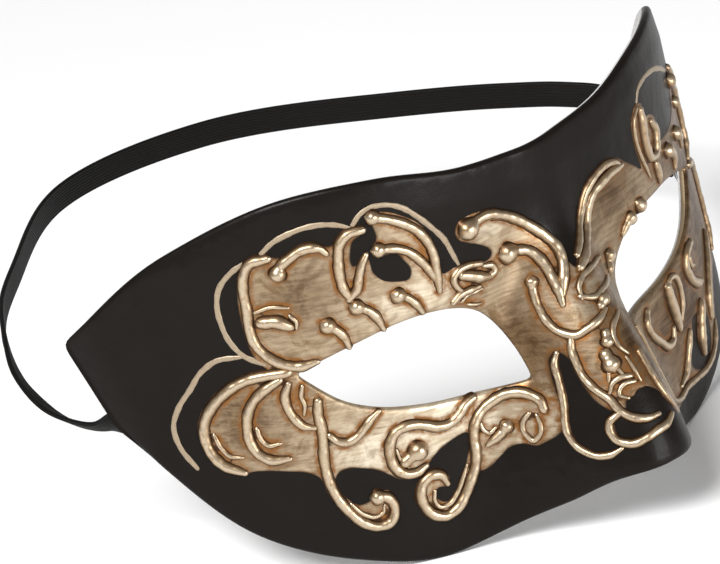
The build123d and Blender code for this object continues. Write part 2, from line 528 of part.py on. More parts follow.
# ---- strap: pads and glued ends inside the temples, the loop behind the head ----------------
pad_face = mask_face(SHELL_THICKNESS + LINING_THICKNESS + PAD_THICKNESS)
tab_face = mask_face(SHELL_THICKNESS + LINING_THICKNESS + PAD_THICKNESS + STRAP_THICKNESS)


def temple_patch(side, sketch, outer, inner):
    """Piece of a skin layer inside a side-view outline, on one temple."""
    with BuildPart() as patch:
        extrude(sketch, amount=side * PATCH_REACH)
        split(bisect_by=outer, keep=Keep.BOTH)
        split(bisect_by=inner, keep=Keep.BOTH)
    return patch.solids().sort_by(SortBy.VOLUME)[0]


tab_end = HINGE_Y - TAB_GAP
for side, word in ((-1, "left"), (1, "right")):
    with BuildSketch(Plane.YZ) as pad_sketch:
        with Locations(PAD_CENTRE):
            RectangleRounded(*PAD_OUTLINE, PAD_CORNER)
    with BuildPart() as pad:
        add(temple_patch(side, pad_sketch.sketch, lining_face, pad_face))
    save(pad, f"anchor_pad_{word}")
    with BuildSketch(Plane.YZ) as tab_sketch:
        with Locations(((TAB_START + tab_end) / 2, HINGE_Z)):
            Rectangle(tab_end - TAB_START, STRAP_WIDTH)
    with BuildPart() as tab:
        add(temple_patch(side, tab_sketch.sketch, pad_face, tab_face))
    save(tab, f"strap_end_{word}")

tilt = math.radians(STRAP_TILT)
strap_plane = Plane(origin=(0, HINGE_Y, HINGE_Z), x_dir=(1, 0, 0),
                    z_dir=(0, -math.sin(tilt), math.cos(tilt)))
with BuildPart() as elastic_strap:
    with BuildSketch(strap_plane) as band:
        with BuildLine() as loop:
            FilletPolyline(*STRAP_PATH, radius=STRAP_BENDS)
        trace(line_width=STRAP_THICKNESS)
    extrude(amount=STRAP_WIDTH / 2, both=True)
    with Locations((-HINGE_X, HINGE_Y, HINGE_Z), (HINGE_X, HINGE_Y, HINGE_Z)):
        Cylinder(STRAP_WIDTH / 2, HINGE_DISC, rotation=(0, 90, 0))
save(elastic_strap, "elastic_strap")
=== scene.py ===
"""Looks of the venetian half mask: lacquered shell, champagne leaf, piped relief, elastic strap.

Shapes are laid out in millimetres and turned into metres when a mesh is made.
Ornament uses the girth coordinates of the mask: p runs across it from -100 (left temple) to
100 (right temple) along the curved face, z is the height.
"""

import math

import bmesh
import bpy
import numpy as np
from mathutils import Matrix, Vector
from mathutils.geometry import delaunay_2d_cdt
from mathutils.kdtree import KDTree


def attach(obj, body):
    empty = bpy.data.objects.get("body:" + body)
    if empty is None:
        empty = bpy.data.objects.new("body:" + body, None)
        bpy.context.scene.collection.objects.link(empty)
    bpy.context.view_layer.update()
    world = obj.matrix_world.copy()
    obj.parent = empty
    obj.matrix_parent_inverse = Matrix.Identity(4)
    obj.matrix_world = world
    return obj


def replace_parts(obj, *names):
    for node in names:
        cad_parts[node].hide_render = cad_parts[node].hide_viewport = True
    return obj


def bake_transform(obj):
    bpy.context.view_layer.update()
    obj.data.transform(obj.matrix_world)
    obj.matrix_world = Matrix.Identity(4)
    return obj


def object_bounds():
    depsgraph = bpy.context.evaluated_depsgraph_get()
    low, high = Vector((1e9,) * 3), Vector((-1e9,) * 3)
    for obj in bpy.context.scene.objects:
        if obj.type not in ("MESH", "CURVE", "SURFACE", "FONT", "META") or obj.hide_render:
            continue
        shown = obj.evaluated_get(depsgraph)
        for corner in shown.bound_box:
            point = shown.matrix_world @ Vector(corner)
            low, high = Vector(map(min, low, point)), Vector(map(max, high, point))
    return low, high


MM = 0.001
rng = np.random.default_rng(7)

# ---- the curved mask surface ----
HALF_WIDTH = 95.0
TEMPLE_TURN = math.radians(50.0)
WRAP_DEPTH = 67.0
WRAP_POWER = 1.3
LEAN = 0.005
NOSE_ROOT_Z = 17.0
NOSE_FOOT_Z = -45.0
NOSE_HEIGHT = 36.5
NOSE_WIDTH_ROOT = 7.2
NOSE_WIDTH_FOOT = 23.4
NOSE_POWER = 2.5
NOSE_ONSET = 0.02
SETBACK = 14.3

SHELL_THICKNESS = 2.0
LINING_THICKNESS = 0.5
PAD_THICKNESS = 1.0         # felt between the inner coat and a glued strap end

# ---- outlines; the edges are given for the right half and mirrored ----
TOP_EDGE = [(0, 40.6), (20, 42.2), (40, 46.1), (60, 44.5), (80, 32.6), (100, 9.1)]
LOWER_EDGE = [(0, -33.8), (5, -34.1), (10, -35.4), (19.3, -42.6), (38.5, -52.5), (57.8, -48.1),
              (77.1, -38.4), (96.4, -11.3)]
EYE_UPPER = [(-63, 1.5), (-55, 5), (-48, 7.5), (-40, 9.5), (-33, 9.7), (-27, 8.5), (-22, 6), (-18, 1),
             (-16, -5), (-15.4, -13)]
EYE_UPPER_RIGHT = [(63, 1.5), (57, 3.8), (51, 6.2), (45, 8), (38, 8.4), (31, 7.9), (25, 5.8), (20.5, 1.5),
                   (17, -4), (15.4, -13)]
EYE_LOWER = [(-15.4, -13), (-20, -14.2), (-30, -14), (-40, -12.5), (-48, -10.5), (-55, -7), (-60, -2),
             (-63, 1.5)]

# ---- leaf fields: champagne leaf laid on the lacquer ----
LEAF_FIELDS = {
    "leaf_brow_left": [
        (-63, 1.5), (-66, 2.4), (-68.8, 5), (-70, 10), (-70.2, 15), (-69.7, 23), (-68.8, 28), (-67, 31),
        (-64.5, 32.3), (-60.5, 31.4), (-58.5, 33), (-56, 34.2), (-53.5, 33.9), (-51.8, 32.6), (-50.6, 33),
        (-49.5, 34.9), (-47.5, 36.1), (-44.8, 36.2), (-44.3, 34.3), (-46.5, 33), (-47.7, 30), (-47.6, 26.5),
        (-46.2, 27.5), (-44.8, 29.4), (-44.2, 27), (-43.9, 24), (-42.3, 21.5), (-39.5, 20.3), (-36.6, 20.2),
        (-36, 21.8), (-37.2, 25), (-38.8, 27.3), (-41, 27.4), (-43.3, 28.4), (-43.2, 30.2), (-42.4, 31.4),
        (-42.6, 35.6), (-43.4, 37.2), (-42.2, 38.9), (-39.5, 38.4), (-36, 36.3), (-33, 33.7), (-30.8, 30.3),
        (-29.5, 26), (-29.1, 21.5), (-28.9, 18.8), (-25.5, 19.2), (-22.5, 18.8), (-19.5, 17.8),
        (-17.2, 17.6), (-16.2, 18.6), (-16.8, 20.2), (-18.8, 22), (-21.5, 23.6), (-23.8, 25.2),
        (-24.6, 27.6), (-23.6, 29.7), (-21, 30.6), (-17, 30.3), (-12.8, 28.8), (-8.8, 26), (-5, 22.4),
        (-2.2, 18.2), (-0.6, 14.6), (-0.8, 11.5), (0, 9.8), (0, 2), (-20, 2), (-40, 4)],
    "leaf_nose_left": [
        (0, 2), (-20, 2), (-18, -12.5), (-15.4, -13.2), (-15.2, -25), (-14.9, -22), (-13.9, -19),
        (-13.2, -15), (-12.6, -11), (-11.7, -8), (-10.6, -6.8), (-9.9, -8), (-10, -11), (-9.9, -15),
        (-9.4, -18), (-8.6, -19.5), (-7.2, -20.6), (-6, -19.6), (-5.3, -18), (-3.3, -17), (-2.4, -16.3),
        (0, -16.3)],
    "leaf_cheek_left": [
        (-63, 1.5), (-66, 2.4), (-69, 3.4), (-72.5, 2.7), (-75, 1), (-78, -1.6), (-80.5, -5), (-82.3, -9),
        (-82.8, -14), (-82.2, -18.3), (-80.2, -21.2), (-77.3, -22.6), (-75, -21.8), (-72, -21.9),
        (-68, -22.6), (-64.8, -23.5), (-62.9, -25), (-62.3, -28), (-61, -32.5), (-58.9, -36.8),
        (-56.4, -39.7), (-53.3, -41.2), (-50.6, -41), (-48.6, -39.3), (-47.8, -36.6), (-48.1, -33.6),
        (-49.7, -31.4), (-51.6, -31.3), (-53.4, -33), (-56, -33.6), (-58, -31.8), (-59.3, -29),
        (-59.7, -26.3), (-58.8, -24.6), (-56.8, -24), (-54, -24.6), (-51, -25.9), (-48.6, -27.8),
        (-46.6, -29.6), (-44.5, -30.3), (-41.7, -29.9), (-39.8, -28.4), (-37.6, -26.2), (-35, -24.6),
        (-32, -23.5), (-29.6, -23.2), (-29.4, -26), (-29, -31), (-28.6, -33.4), (-27, -32.8),
        (-24.5, -30.5), (-22.5, -28.5), (-20.7, -27.9), (-19, -28.4), (-17.5, -27.4), (-16.2, -26.2),
        (-15.2, -25), (-15.4, -13.2), (-18, -12.5), (-40, -8)],
    "leaf_scroll_left": [
        (-29.6, -27), (-31.6, -31.5), (-33.3, -35), (-35.3, -37.8), (-37.3, -38.6), (-38.7, -37.5),
        (-39.1, -35.6), (-38, -34.7), (-36.3, -35), (-35.2, -33), (-36.3, -31), (-38.6, -29.8),
        (-41.4, -30.8), (-43.4, -33.8), (-43.5, -37.4), (-42.2, -40.9), (-39.5, -43.1), (-36.3, -43.2),
        (-33.3, -41), (-30.8, -37), (-28.8, -32.5)],
    "leaf_brow_right": [
        (0, 2), (0, 9.8), (3, 12.6), (7, 15.8), (10, 19.2), (13, 23), (17, 25.8), (21, 26.6), (24.5, 25),
        (27, 22.8), (31, 19.5), (33, 17.6), (32, 22.5), (31.4, 27), (32.2, 31.6), (34.8, 33.8),
        (37.6, 32.6), (38.4, 29), (41, 28), (43.4, 26), (44.2, 22.5), (44.3, 19.4), (47, 18.6), (51, 18.2),
        (55, 18.6), (59, 20.5), (60.5, 24), (61.2, 26.6), (64.5, 27.4), (68.5, 25), (71.5, 20.5),
        (73.4, 14.5), (73.8, 8), (72, 2), (66, 0.5), (63, 1.5), (40, 4), (20, 2)],
    "leaf_nose_right": [
        (0, 2), (20, 2), (18, -12.5), (15.6, -13.2), (16.5, -20), (20, -32), (24.5, -41), (18, -36),
        (11, -29), (6, -25.6), (4.8, -23.5), (4.1, -21.5), (2.5, -18.3), (0.6, -16.6), (0, -16.3)],
    "leaf_cheek_right": [
        (63, 1.5), (66, 0.5), (72, 0.5), (75.5, -2.5), (78.5, -8), (79.8, -14), (79.6, -20), (78, -25.5),
        (74.5, -29), (68.5, -30), (64, -33.5), (60.5, -39), (56.5, -43.8), (50.4, -46), (43.5, -45.8),
        (37.5, -45), (32, -45.3), (28, -44), (24.5, -41), (20, -32), (16.5, -20), (15.6, -13.2),
        (18, -12.5), (40, -8)],
}
BARE_PATCH_RIGHT = [(46.5, -30), (50, -30.5), (54, -32), (55.5, -36), (54.5, -41), (50.5, -44), (45, -43),
                    (42.6, -41), (43.8, -36), (45, -33)]

# ---- piped relief: name -> strokes of (radius, path, start ball, end ball) ----
# Without a ball a stroke closes with its own round end.
RELIEF = {
    "petal_rim_left": [
        (1, [(-63.4, 31.3), (-66, 30.7), (-67.6, 28), (-68.4, 24), (-68.6, 19), (-69, 14.5), (-68.7, 10.5),
            (-67.2, 7.2), (-64.6, 4.7), (-61.5, 3.7), (-58.8, 4.2)]),
        (1.3, [(-66.2, 15.6), (-64, 15.5), (-62.3, 14.3)]),
        (0.45, [(-67.4, 18.2), (-64.5, 19.2), (-61.6, 18.7)])],
    "petal_crest_left": [
        (1, [(-61.9, 27.3), (-61, 29.3), (-59, 31.1), (-57, 32.5), (-55, 32.9), (-53.4, 32.4),
            (-52.6, 31.3)], 1.45)],
    "v_bead_left": [
        (1, [(-44.9, 35.1), (-47.3, 34.9), (-49.3, 33), (-50.2, 29.5), (-50.6, 25), (-50.3, 21),
            (-49.5, 18.7)]),
        (0.9, [(-49.5, 18.7), (-47.9, 20.5), (-46.9, 23.8), (-45.9, 26.6), (-44.9, 28.4)])],
    "lid_commas_left": [
        (0.9, [(-54.8, 12.8), (-53.3, 11.4), (-52.1, 9.3), (-51.6, 7)], 1.4),
        (0.9, [(-48.5, 16.2), (-46.6, 15), (-45, 12.8), (-44, 9.6)], 1.35),
        (0.85, [(-39.7, 16.7), (-38, 15.7), (-36.4, 13.8), (-35, 10.9)], 1.35)],
    "fan_beads_left": [
        (0.95, [(-42.1, 37.6), (-39.5, 36.5), (-36.2, 34.4), (-33.5, 31.8), (-31.6, 28.6), (-30.5, 24.8),
            (-30.3, 20), (-30.3, 15)], 1.3),
        (0.9, [(-42, 29.2), (-39, 28.7), (-36.2, 27.1), (-34, 24.5), (-32.3, 21.5), (-30.9, 18)], 1.3)],
    "brow_curl_left": [
        (0.75, [(-19.5, 17.5), (-22.3, 18.2), (-25, 18), (-26.6, 16.4), (-26.2, 14.2), (-24.9, 12.3)]),
        (1.15, [(-24.2, 16.3), (-22.2, 15.4), (-20, 14.2), (-17.8, 13.4)]),
        (0.75, [(-17.8, 13.4), (-16.1, 14.3), (-16.6, 15.8), (-18.4, 16.5)]),
        (0.8, [(-27.4, 10.6), (-25.8, 11.7), (-23.5, 12), (-20.8, 11.9)])],
    "brow_scroll_left": [
        (1.05, [(-21.4, 27.3), (-19, 28.5), (-16, 28.8), (-12.5, 27.3), (-9, 24.9), (-5.8, 21.7),
            (-3.2, 18.2), (-1.8, 15), (-2.2, 12), (-3.7, 9), (-5.2, 6)], 1.9),
        (1.05, [(-12.2, 17.1), (-9.5, 16.9), (-7.4, 16), (-6, 13.6), (-5.6, 10), (-5.7, 6.5),
            (-6.2, 4)], 1.85)],
    "nose_frame": [
        (0.85, [(-9, 9), (-9.5, 6.5), (-9.8, 3), (-9.7, 0), (-8.9, -2.3), (-7.5, -3.2), (-4.8, -2),
            (-2.2, -0.9), (0.5, 0.3)], 1.15),
        (0.85, [(-7.8, -3.4), (-8.7, -6.3), (-9.1, -9.5), (-9.2, -12.5), (-8.6, -15.2), (-7.5, -17.4),
            (-7.1, -19.6), (-5.8, -21.5), (-3.5, -22.4), (-0.5, -22.6)]),
        (0.85, [(-7.4, -20.6), (-9, -22.3), (-9.6, -24.8), (-9.2, -26.7), (-7.6, -27.5), (-5, -26.7),
            (-2, -25.7), (1, -25.3), (3, -24.4)])],
    "nose_drops": [
        (0.95, [(-2.9, -5.3), (-2.3, -3.8)], 1.15),
        (1.2, [(-4.5, -9.7), (-4.5, -8)], 1.55),
        (0.45, [(-5.3, -10.6), (-6.3, -13.4)]),
        (0.45, [(-3.9, -10.6), (-3.4, -13)])],
    "nose_curl": [
        (0.6, [(-2.2, -13.1), (-4.3, -12.9), (-6, -14), (-7, -15.8)]),
        (0.5, [(-2, -14.4), (-3.9, -14.3), (-5.3, -15.3), (-5.8, -16.6), (-4.9, -17.3)])],
    "side_bead_left": [
        (0.75, [(-10.8, -7.2), (-11.7, -9.3), (-12.3, -12.7), (-12.9, -16.3), (-13.6, -19.8), (-14.4, -23),
            (-14.7, -26), (-14.1, -28.8), (-12.6, -30.3), (-11, -30), (-9.5, -28.8)])],
    "temple_petal_left": [
        (1.05, [(-64.4, 2.5), (-67.5, 2.3), (-71, 1.7), (-74, 0.2), (-76.8, -2.3), (-79.3, -5.5), (-81, -9),
            (-81.7, -13), (-81.2, -17), (-79.6, -19.9), (-77, -21.5)]),
        (0.5, [(-80, -12), (-79.4, -15.3), (-78.2, -17.5), (-76.4, -17.9)])],
    "temple_crescent_left": [
        (1, [(-66.3, 0.6), (-68.8, -1.1), (-71.2, -3.5), (-72.9, -6.6), (-73.8, -10.3), (-74, -14),
            (-73, -17.4), (-71, -19.1), (-68.2, -19.2)]),
        (0.55, [(-72.2, -11), (-71.9, -13.8), (-70.8, -15.4), (-68.9, -15.2)])],
    "temple_loop_left": [
        (0.9, [(-64.6, -0.6), (-65.6, -3), (-65.7, -6.2), (-64.9, -9.2), (-63.4, -11.5), (-61.9, -12.1)]),
        (0.5, [(-62.1, -1.4), (-62.7, -4), (-62.4, -6.2), (-62.9, -8.4)])],
    "stem_left": [
        (1, [(-59.8, -5.7), (-60.3, -9), (-60.2, -12.6), (-60.5, -16), (-61, -19.5), (-61.2, -23.5),
            (-60.9, -27.5), (-59.9, -31.5), (-58.2, -35.2), (-56, -38.3), (-53, -40.1), (-50.3, -39.8),
            (-48.9, -37.6), (-49, -34.8), (-50.3, -33), (-51.9, -32.7)], 0, 1.35),
        (0.5, [(-57.6, -33.2), (-55.7, -36.1), (-53.2, -37.5), (-51.4, -36.9), (-50.9, -35.2)])],
    "garland_left": [
        (0.85, [(-58.9, -14.9), (-57.6, -16.6), (-55.7, -17.2), (-53.6, -16.3), (-51.7, -14.4),
            (-49.9, -12.4), (-48.4, -11.3)])],
    "cheek_wave_left": [
        (1.05, [(-26.8, -15.2), (-28.6, -16), (-30.6, -18), (-33.2, -19.4), (-36.2, -19.1), (-39.2, -17.5),
            (-42.4, -16.6), (-45.3, -17.3), (-47, -19.7), (-47.5, -23), (-46.9, -26.4), (-45, -28.6),
            (-42.3, -29), (-40.5, -28.2)])],
    "cheek_drop_left": [
        (1.25, [(-41.3, -23.6), (-42.8, -24.4), (-44.4, -25.4)], 1.8)],
    "cheek_scroll_left": [
        (1.05, [(-15.9, -19.6), (-15.9, -17.6), (-17.3, -16.1), (-19.6, -15.9), (-22.6, -17),
            (-25.4, -18.8), (-27.4, -21.5), (-28.3, -25), (-28.6, -28.5), (-29.5, -32), (-31, -35),
            (-32.8, -38.2), (-35, -41), (-37.8, -42.2), (-40.4, -41), (-42, -38.2), (-42.4, -34.7),
            (-41.2, -32), (-38.9, -30.9), (-37, -31.8), (-36.2, -33.8)]),
        (0.5, [(-39.2, -35.2), (-39.6, -37.4), (-38.6, -39.6), (-36.6, -39.5), (-34.4, -37.3),
            (-32.7, -34.4), (-31.1, -31.2)])],
    "cheek_ear_left": [
        (0.6, [(-18.1, -20.9), (-19.3, -22.7), (-19.8, -25.3), (-19.1, -27.1), (-18, -25.8), (-17.3, -23.4),
            (-17.2, -21.4)])],
    "cheek_seed_left": [
        (0.95, [(-21.9, -23.5), (-22.9, -24.8), (-24.3, -26.1), (-25.6, -27)], 1.25),
        (0.5, [(-26.3, -21.8), (-26, -23.6), (-25, -24.6), (-23.8, -23.6)])],
    "brow_petal_right": [
        (1.05, [(1.2, 9.6), (4, 10.6), (7, 11.5), (9.3, 12.7), (11, 15.2), (12.4, 18.3), (14.6, 20.6),
            (17.8, 21.9), (21.5, 22.8), (25, 22.6)]),
        (0.8, [(2.2, 11.9), (6.6, 14.7), (9.6, 17.9), (12.5, 21.8), (16.3, 24.4), (20.5, 25.3), (23.8, 24),
            (25, 22.6)])],
    "v_bead_right": [
        (0.5, [(35, 32.6), (33.2, 30.8), (32.5, 27), (33.3, 21.8), (35.1, 17), (36.5, 13.6)]),
        (1.05, [(36.2, 31.4), (36.3, 28.2), (36.2, 25), (36.6, 21.3), (38, 18), (40.2, 17.7), (41.8, 20.4),
            (42.3, 23.2), (40.9, 25.8)])],
    "lid_commas_right": [
        (0.95, [(39.9, 15.4), (40.4, 12.8), (40.6, 10.6)]),
        (1, [(47.5, 14.6), (49.8, 13), (51.3, 10.6), (51.1, 8.6)], 1.4),
        (1, [(56.5, 14), (59.3, 11.8), (60.6, 8.6)], 1.35),
        (0.85, [(63.3, 18.2), (65.6, 16.3)], 1.15)],
    "fan_beads_right": [
        (1.05, [(61.7, 24.8), (65, 21.5), (67.6, 16.5), (68.9, 10.5), (68.6, 5), (66.8, 1.8)], 1.4),
        (1, [(65.5, 25.8), (69.3, 21), (71.4, 15), (71.9, 9), (70.7, 3.8)])],
    "lid_drops_right": [
        (0.9, [(26, 8.2), (24.2, 7.2), (22.8, 5.8)], 1.3),
        (1.1, [(30.3, 9.3), (29.8, 10)], 1.35),
        (0.95, [(16.4, 3.2), (15, 0.6)], 1.3)],
    "bridge_leaf_right": [
        (0.65, [(11.3, 5.6), (7, 7.3), (3, 8.2), (0, 7.8), (-2, 6.2), (-2.6, 4.4)]),
        (0.65, [(-2.6, 4.4), (0, 3.4), (3, 3.7), (7.5, 2.6), (11, 1.2)])],
    "bridge_drop": [
        (0.9, [(1.6, 2), (0.4, 1.5)], 1.15)],
    "temple_petal_right": [
        (1, [(66, 0), (70.5, -2), (73.8, -6), (75.8, -11.5), (77, -17.5), (77.1, -23), (75.4, -27.4)])],
    "cheek_bead_right": [
        (1, [(67, -19), (63.6, -23), (60.5, -27), (58.2, -31), (57.6, -35.5)])],
    "cheek_curl_right": [
        (1.05, [(51.7, -12.6), (48.4, -13), (46.8, -15.8), (48, -19.5), (51.6, -23.2), (55, -24.8)]),
        (0.55, [(50.2, -15.6), (50.4, -17.8), (52.3, -18.9)])],
    "cheek_petal_right": [
        (1.25, [(36.4, -16.2), (36.9, -19.7), (38, -24.2), (39, -28.2)]),
        (0.7, [(36.4, -16.2), (38.2, -14.6), (40.4, -15.2), (42, -18.4), (42.3, -22.5), (41, -27)])],
    "cheek_seed_right": [
        (0.95, [(26.6, -17.4), (25.2, -19.6), (26.3, -23.2), (29.6, -27), (33, -30), (35.4, -29.6),
            (36.3, -27.5)])],
    "stem_right": [
        (1.15, [(52, -29), (50.3, -32.5), (49, -36.5), (49.3, -40.5)]),
        (0.85, [(43.5, -32), (41.8, -35), (40, -38.2), (38.2, -40.6), (35.5, -41.8)])],
    "hem_bead_right": [
        (0.75, [(16.5, -14.5), (18.5, -21), (21, -28), (24, -35), (27.6, -41), (32.5, -43.8), (38, -43.8),
            (43.5, -44.5), (50.4, -44.9), (55.5, -43), (59.6, -38.5)])],
}

# Strokes too fine for the CAD part: name -> (radius, path).
FINE_STROKES = {
    "petal_hair_left": (0.45, [(-61.4, 16.6), (-60.5, 15), (-60.7, 13.3)]),
    "brow_hair_upper_left": (0.45, [(-25.4, 10), (-23.8, 11), (-21.8, 11), (-20, 11.1)]),
    "brow_hair_lower_left": (0.4, [(-24, 8.6), (-22, 7.8), (-21, 7.6)]),
    "wave_hair_left": (0.4, [(-46, -21.9), (-45.4, -25), (-44, -27.3)]),
    "ridge_hair": (0.45, [(-0.9, -9.5), (-0.7, -12), (-0.5, -14.6)]),
    "bridge_bead_right": (0.6, [(3.5, -1.6), (0.8, -2.6), (-1, -4.6), (-1.2, -6.8), (-0.2, -8.6)]),
    "nose_side_bead_right": (0.7, [(3, -10), (3, -14), (3.4, -17.5), (4.3, -20.5), (5.6, -23.4)]),
}

# ---- gilt lines: thin flat strokes painted around the petals ----
GILT_LINES = {
    "gilt_line_temple_left": [(-84.7, -20.3), (-86.4, -15.5), (-86.5, -10), (-84.6, -5), (-81.8, -0.5),
        (-79, 4), (-76, 6.6), (-71.7, 7.3)],
    "gilt_line_petal_left": [(-67.9, 4.9), (-71.2, 7.5), (-73, 11.4), (-73.6, 16), (-73.4, 20.8),
        (-72.2, 25), (-70, 28.2), (-66.9, 31)],
    "gilt_line_crest_left": [(-63.9, 32.7), (-61.8, 35), (-58.8, 36.8), (-55.5, 37.9), (-52, 38.1),
        (-49.2, 37.4), (-47.1, 36.3)],
    "gilt_line_fan_left": [(-46.3, 36.7), (-44.6, 38.8), (-42.2, 39.9), (-39.2, 39.8), (-35.6, 38),
        (-32.6, 34.8), (-29.6, 30.7), (-27.3, 27), (-25.9, 22.8), (-24.8, 19.4)],
    "gilt_line_fan_right": [(35.7, 34), (37.2, 36.3), (41.1, 37.2), (47.3, 36), (54, 32.6), (60, 28.6)],
    "gilt_line_temple_right": [(84.7, -20.3), (86.4, -15.5), (86.5, -10), (84.6, -5), (81.8, -0.5), (79, 3),
        (75.8, 5.6)],
}
GILT_HALF_WIDTH = 0.55
GILT_RISE = 0.3             # share of the half width
GILT_WOBBLE = 0.08

# ---- strap ----
HINGE_X = 85.1
HINGE_Y = 70.0
HINGE_Z = -10.0
STRAP_TILT = math.radians(5.0)
STRAP_WIDTH = 7.2
STRAP_THICKNESS = 1.2
# Loop in the strap's own plane: x, distance behind the hinge, height off the plane.
STRAP_LOOP = [(-HINGE_X, 0, 0), (-87.0, 7, -3.6), (-89.5, 13.5, -6.2), (-92.8, 23, -5.6),
              (-92.2, 36, -2.2), (-86, 49, 0), (-76.5, 62.5, 0), (-60.9, 76, 0),
              (-29.4, 96.5, 0), (15.3, 93.4, 0), (58.3, 66, 0), (79.8, 47, 0), (89, 36.6, 0),
              (94.5, 26, 0), (90.5, 14.5, 0), (87.3, 8, 0), (HINGE_X, 0, 0)]
STRAP_LOOP_STEP = 3.0
STRAP_STEP = 0.8
STRAP_TWIST = math.radians(50.0)    # the band turns over a little behind the left temple
TWIST_ON = (5, 12)          # distances behind the hinge between which the twist comes on
TWIST_OFF = (58, 24)        # and goes off again
STRAP_TAB_Y = 57.5          # where the glued end starts
STRAP_TAB_GAP = 3           # the glued end stops this far before the hinge
STRAP_TAB_STEP = 1.5
STRAP_RIBS = 9
RIB_POINTS = 6              # points across one rib
RIB_VALLEY = 0.78           # thickness between the ribs, as a share of the full thickness
STRAP_EDGE = 0.07           # rounded edge, as a share of the half width

# ---- finish of edges, leaf and relief, mm ----
RIM_STEP = 1.2              # spacing of the outline's points
FREE_OF_ROWS = 0.45         # loose points stay this share of their spacing off the rows
OWN_ROW = 0.93              # points of a row that come nearer to another edge are left out
EYE_STEP = 0.9
EYE_FINE_STEP = 0.2
SHEET_STEP = 1.7            # spacing of the skin's points
RIM_ROUND = 0.9             # rounding of the shell's edges
RIM_RINGS = (0.12, 0.38, 1.0)       # rows of points in the rounding, as shares of it
GILDED_EDGE = 1.5           # the leaf is carried round the edge of the eye openings
RIM_BAND = 8.0              # band along the top edge that turns back a little
RIM_SLOPE = 0.11
RIM_BAND_ENDS = (92, 70)    # girth between which the band fades out towards the temples
END_BAND = 5.5              # facet along the temple ends, in girth
END_SLOPE = 0.27
LINING_OVERLAP = 0.05       # the inner coat starts this far inside the lacquered shell
LINING_INSET = 0.5
LINING_ROUND = 0.2
LEAST_THICKNESS = 0.1
LEAF_STEP = 0.95
LEAF_OUTLINE_STEP = 0.6
NEIGHBOUR_STEP = 0.8
LEAF_LIFT = 0.1
LEAF_FEATHER = 0.35
LEAF_INSET = 0.18           # first row of points inside the leaf's edge
LEAF_TUCK = 0.04            # the very edge dips this far under the lacquer,
TUCK_WIDTH = 0.05           # over this width
LEAF_PROBE = 0.7            # how far beyond an edge a neighbouring leaf is looked for
AT_EYE = 0.8                # edges this near an eye opening don't feather
WAX_REACH = 0.95            # brown wax round the foot of a bead
BEAD_STEP = 0.35
BEAD_HEIGHT = 1.05          # crown of a bead as a share of its half width
BEAD_SWELL = 1.24           # beads spread a little where they sit down on the leaf
BALL_SWELL = 1.4
BEAD_WOBBLE = 0.045         # unevenness of the width, as a share of it
SLOW_WAVE, QUICK_WAVE = 0.9, 2.3    # its two waves, radians per mm
QUICK_SHARE = 0.6
BEAD_SINK = 0.12            # the foot of a bead lies this far under the surface
LONG_STROKE = 6             # past this many half widths an end without a ball thins out
HEAD_SHARE, HEAD_RUN, HEAD_PART = 0.78, 4.0, 0.3    # width there; reach in mm and part of the stroke
TAIL_SHARE, TAIL_RUN, TAIL_PART = 0.58, 5.0, 0.4
NECK_SHARE, NECK_FLAT, NECK_REACH = 0.97, 0.2, 1.1  # neck behind a ball, in ball radii
HEAD_CAP, TAIL_CAP = 0.3, 0.25      # least length of a round end
LEAST_WIDTH = 0.02
# Left half of a bead's cross section: across and up, in half widths.
BEAD_SIDE = [(-1.45, -0.45), (-1.2, 0.03), (-1.05, 0.16), (-0.95, 0.4), (-0.82, 0.64),
             (-0.62, 0.84), (-0.36, 0.96), (0, 1)]
PROFILE = np.array(BEAD_SIDE + [(-across, up) for across, up in BEAD_SIDE[-2::-1]])

# Where the leaf is paler, or browner with patina; the patches on the right half also paint the shade of the
# far side: p, z, reach in p, reach in z, weight.
CREAM_PATCHES = [(-35, -19, 17, 8, 0.95), (-36, 15, 12, 5, 0.6), (-26, 13, 6, 5, 0.2),
                 (-14, 26, 7, 3, 0.5), (-2, 5, 4, 4, 0.5), (-52, -24, 7, 8, 0.5)]
PATINA_AND_SHADE_PATCHES = [(-74, -8, 9, 14, 0.8), (-60, 21, 10, 12, 0.75), (-15, -4, 6, 12, 1.0),
                  (-8, 12, 5, 6, 0.4), (-24, 14, 4, 4, 0.4), (-56, -34, 8, 8, 0.5),
                  (60, -10, 24, 30, 1.0), (62, 18, 20, 14, 1.0), (20, 20, 11, 12, 0.95),
                  (2, -9, 11, 13, 1.0), (34, -28, 16, 16, 0.9)]

# ---- floor, light and camera ----
FLOOR_HALF = 4.0            # metres
PAPER_WHITE = 0.93
WORLD_STRENGTH = 0.30
# name, position in metres, aim, width, height, power in watts
LIGHTS = [("key_softbox", (-1.15, -0.35, 1.25), (0, 0, 0), 0.8, 0.6, 42.0),
          ("front_softbox", (0.15, -1.30, 0.14), (0, 0, 0), 0.9, 0.3, 12.0)]
CAMERA_PLACE = (-898.4, -1052.7, 692.2)     # mm
CAMERA_AZIMUTH = -38.221
CAMERA_ELEVATION = 26.021
CAMERA_ROLL = -8.864
CAMERA_LENS = 327.8


# ---- curves ----
def unit(vectors):
    """The same vectors with a length of one."""
    return vectors / np.linalg.norm(vectors, axis=-1, keepdims=True)


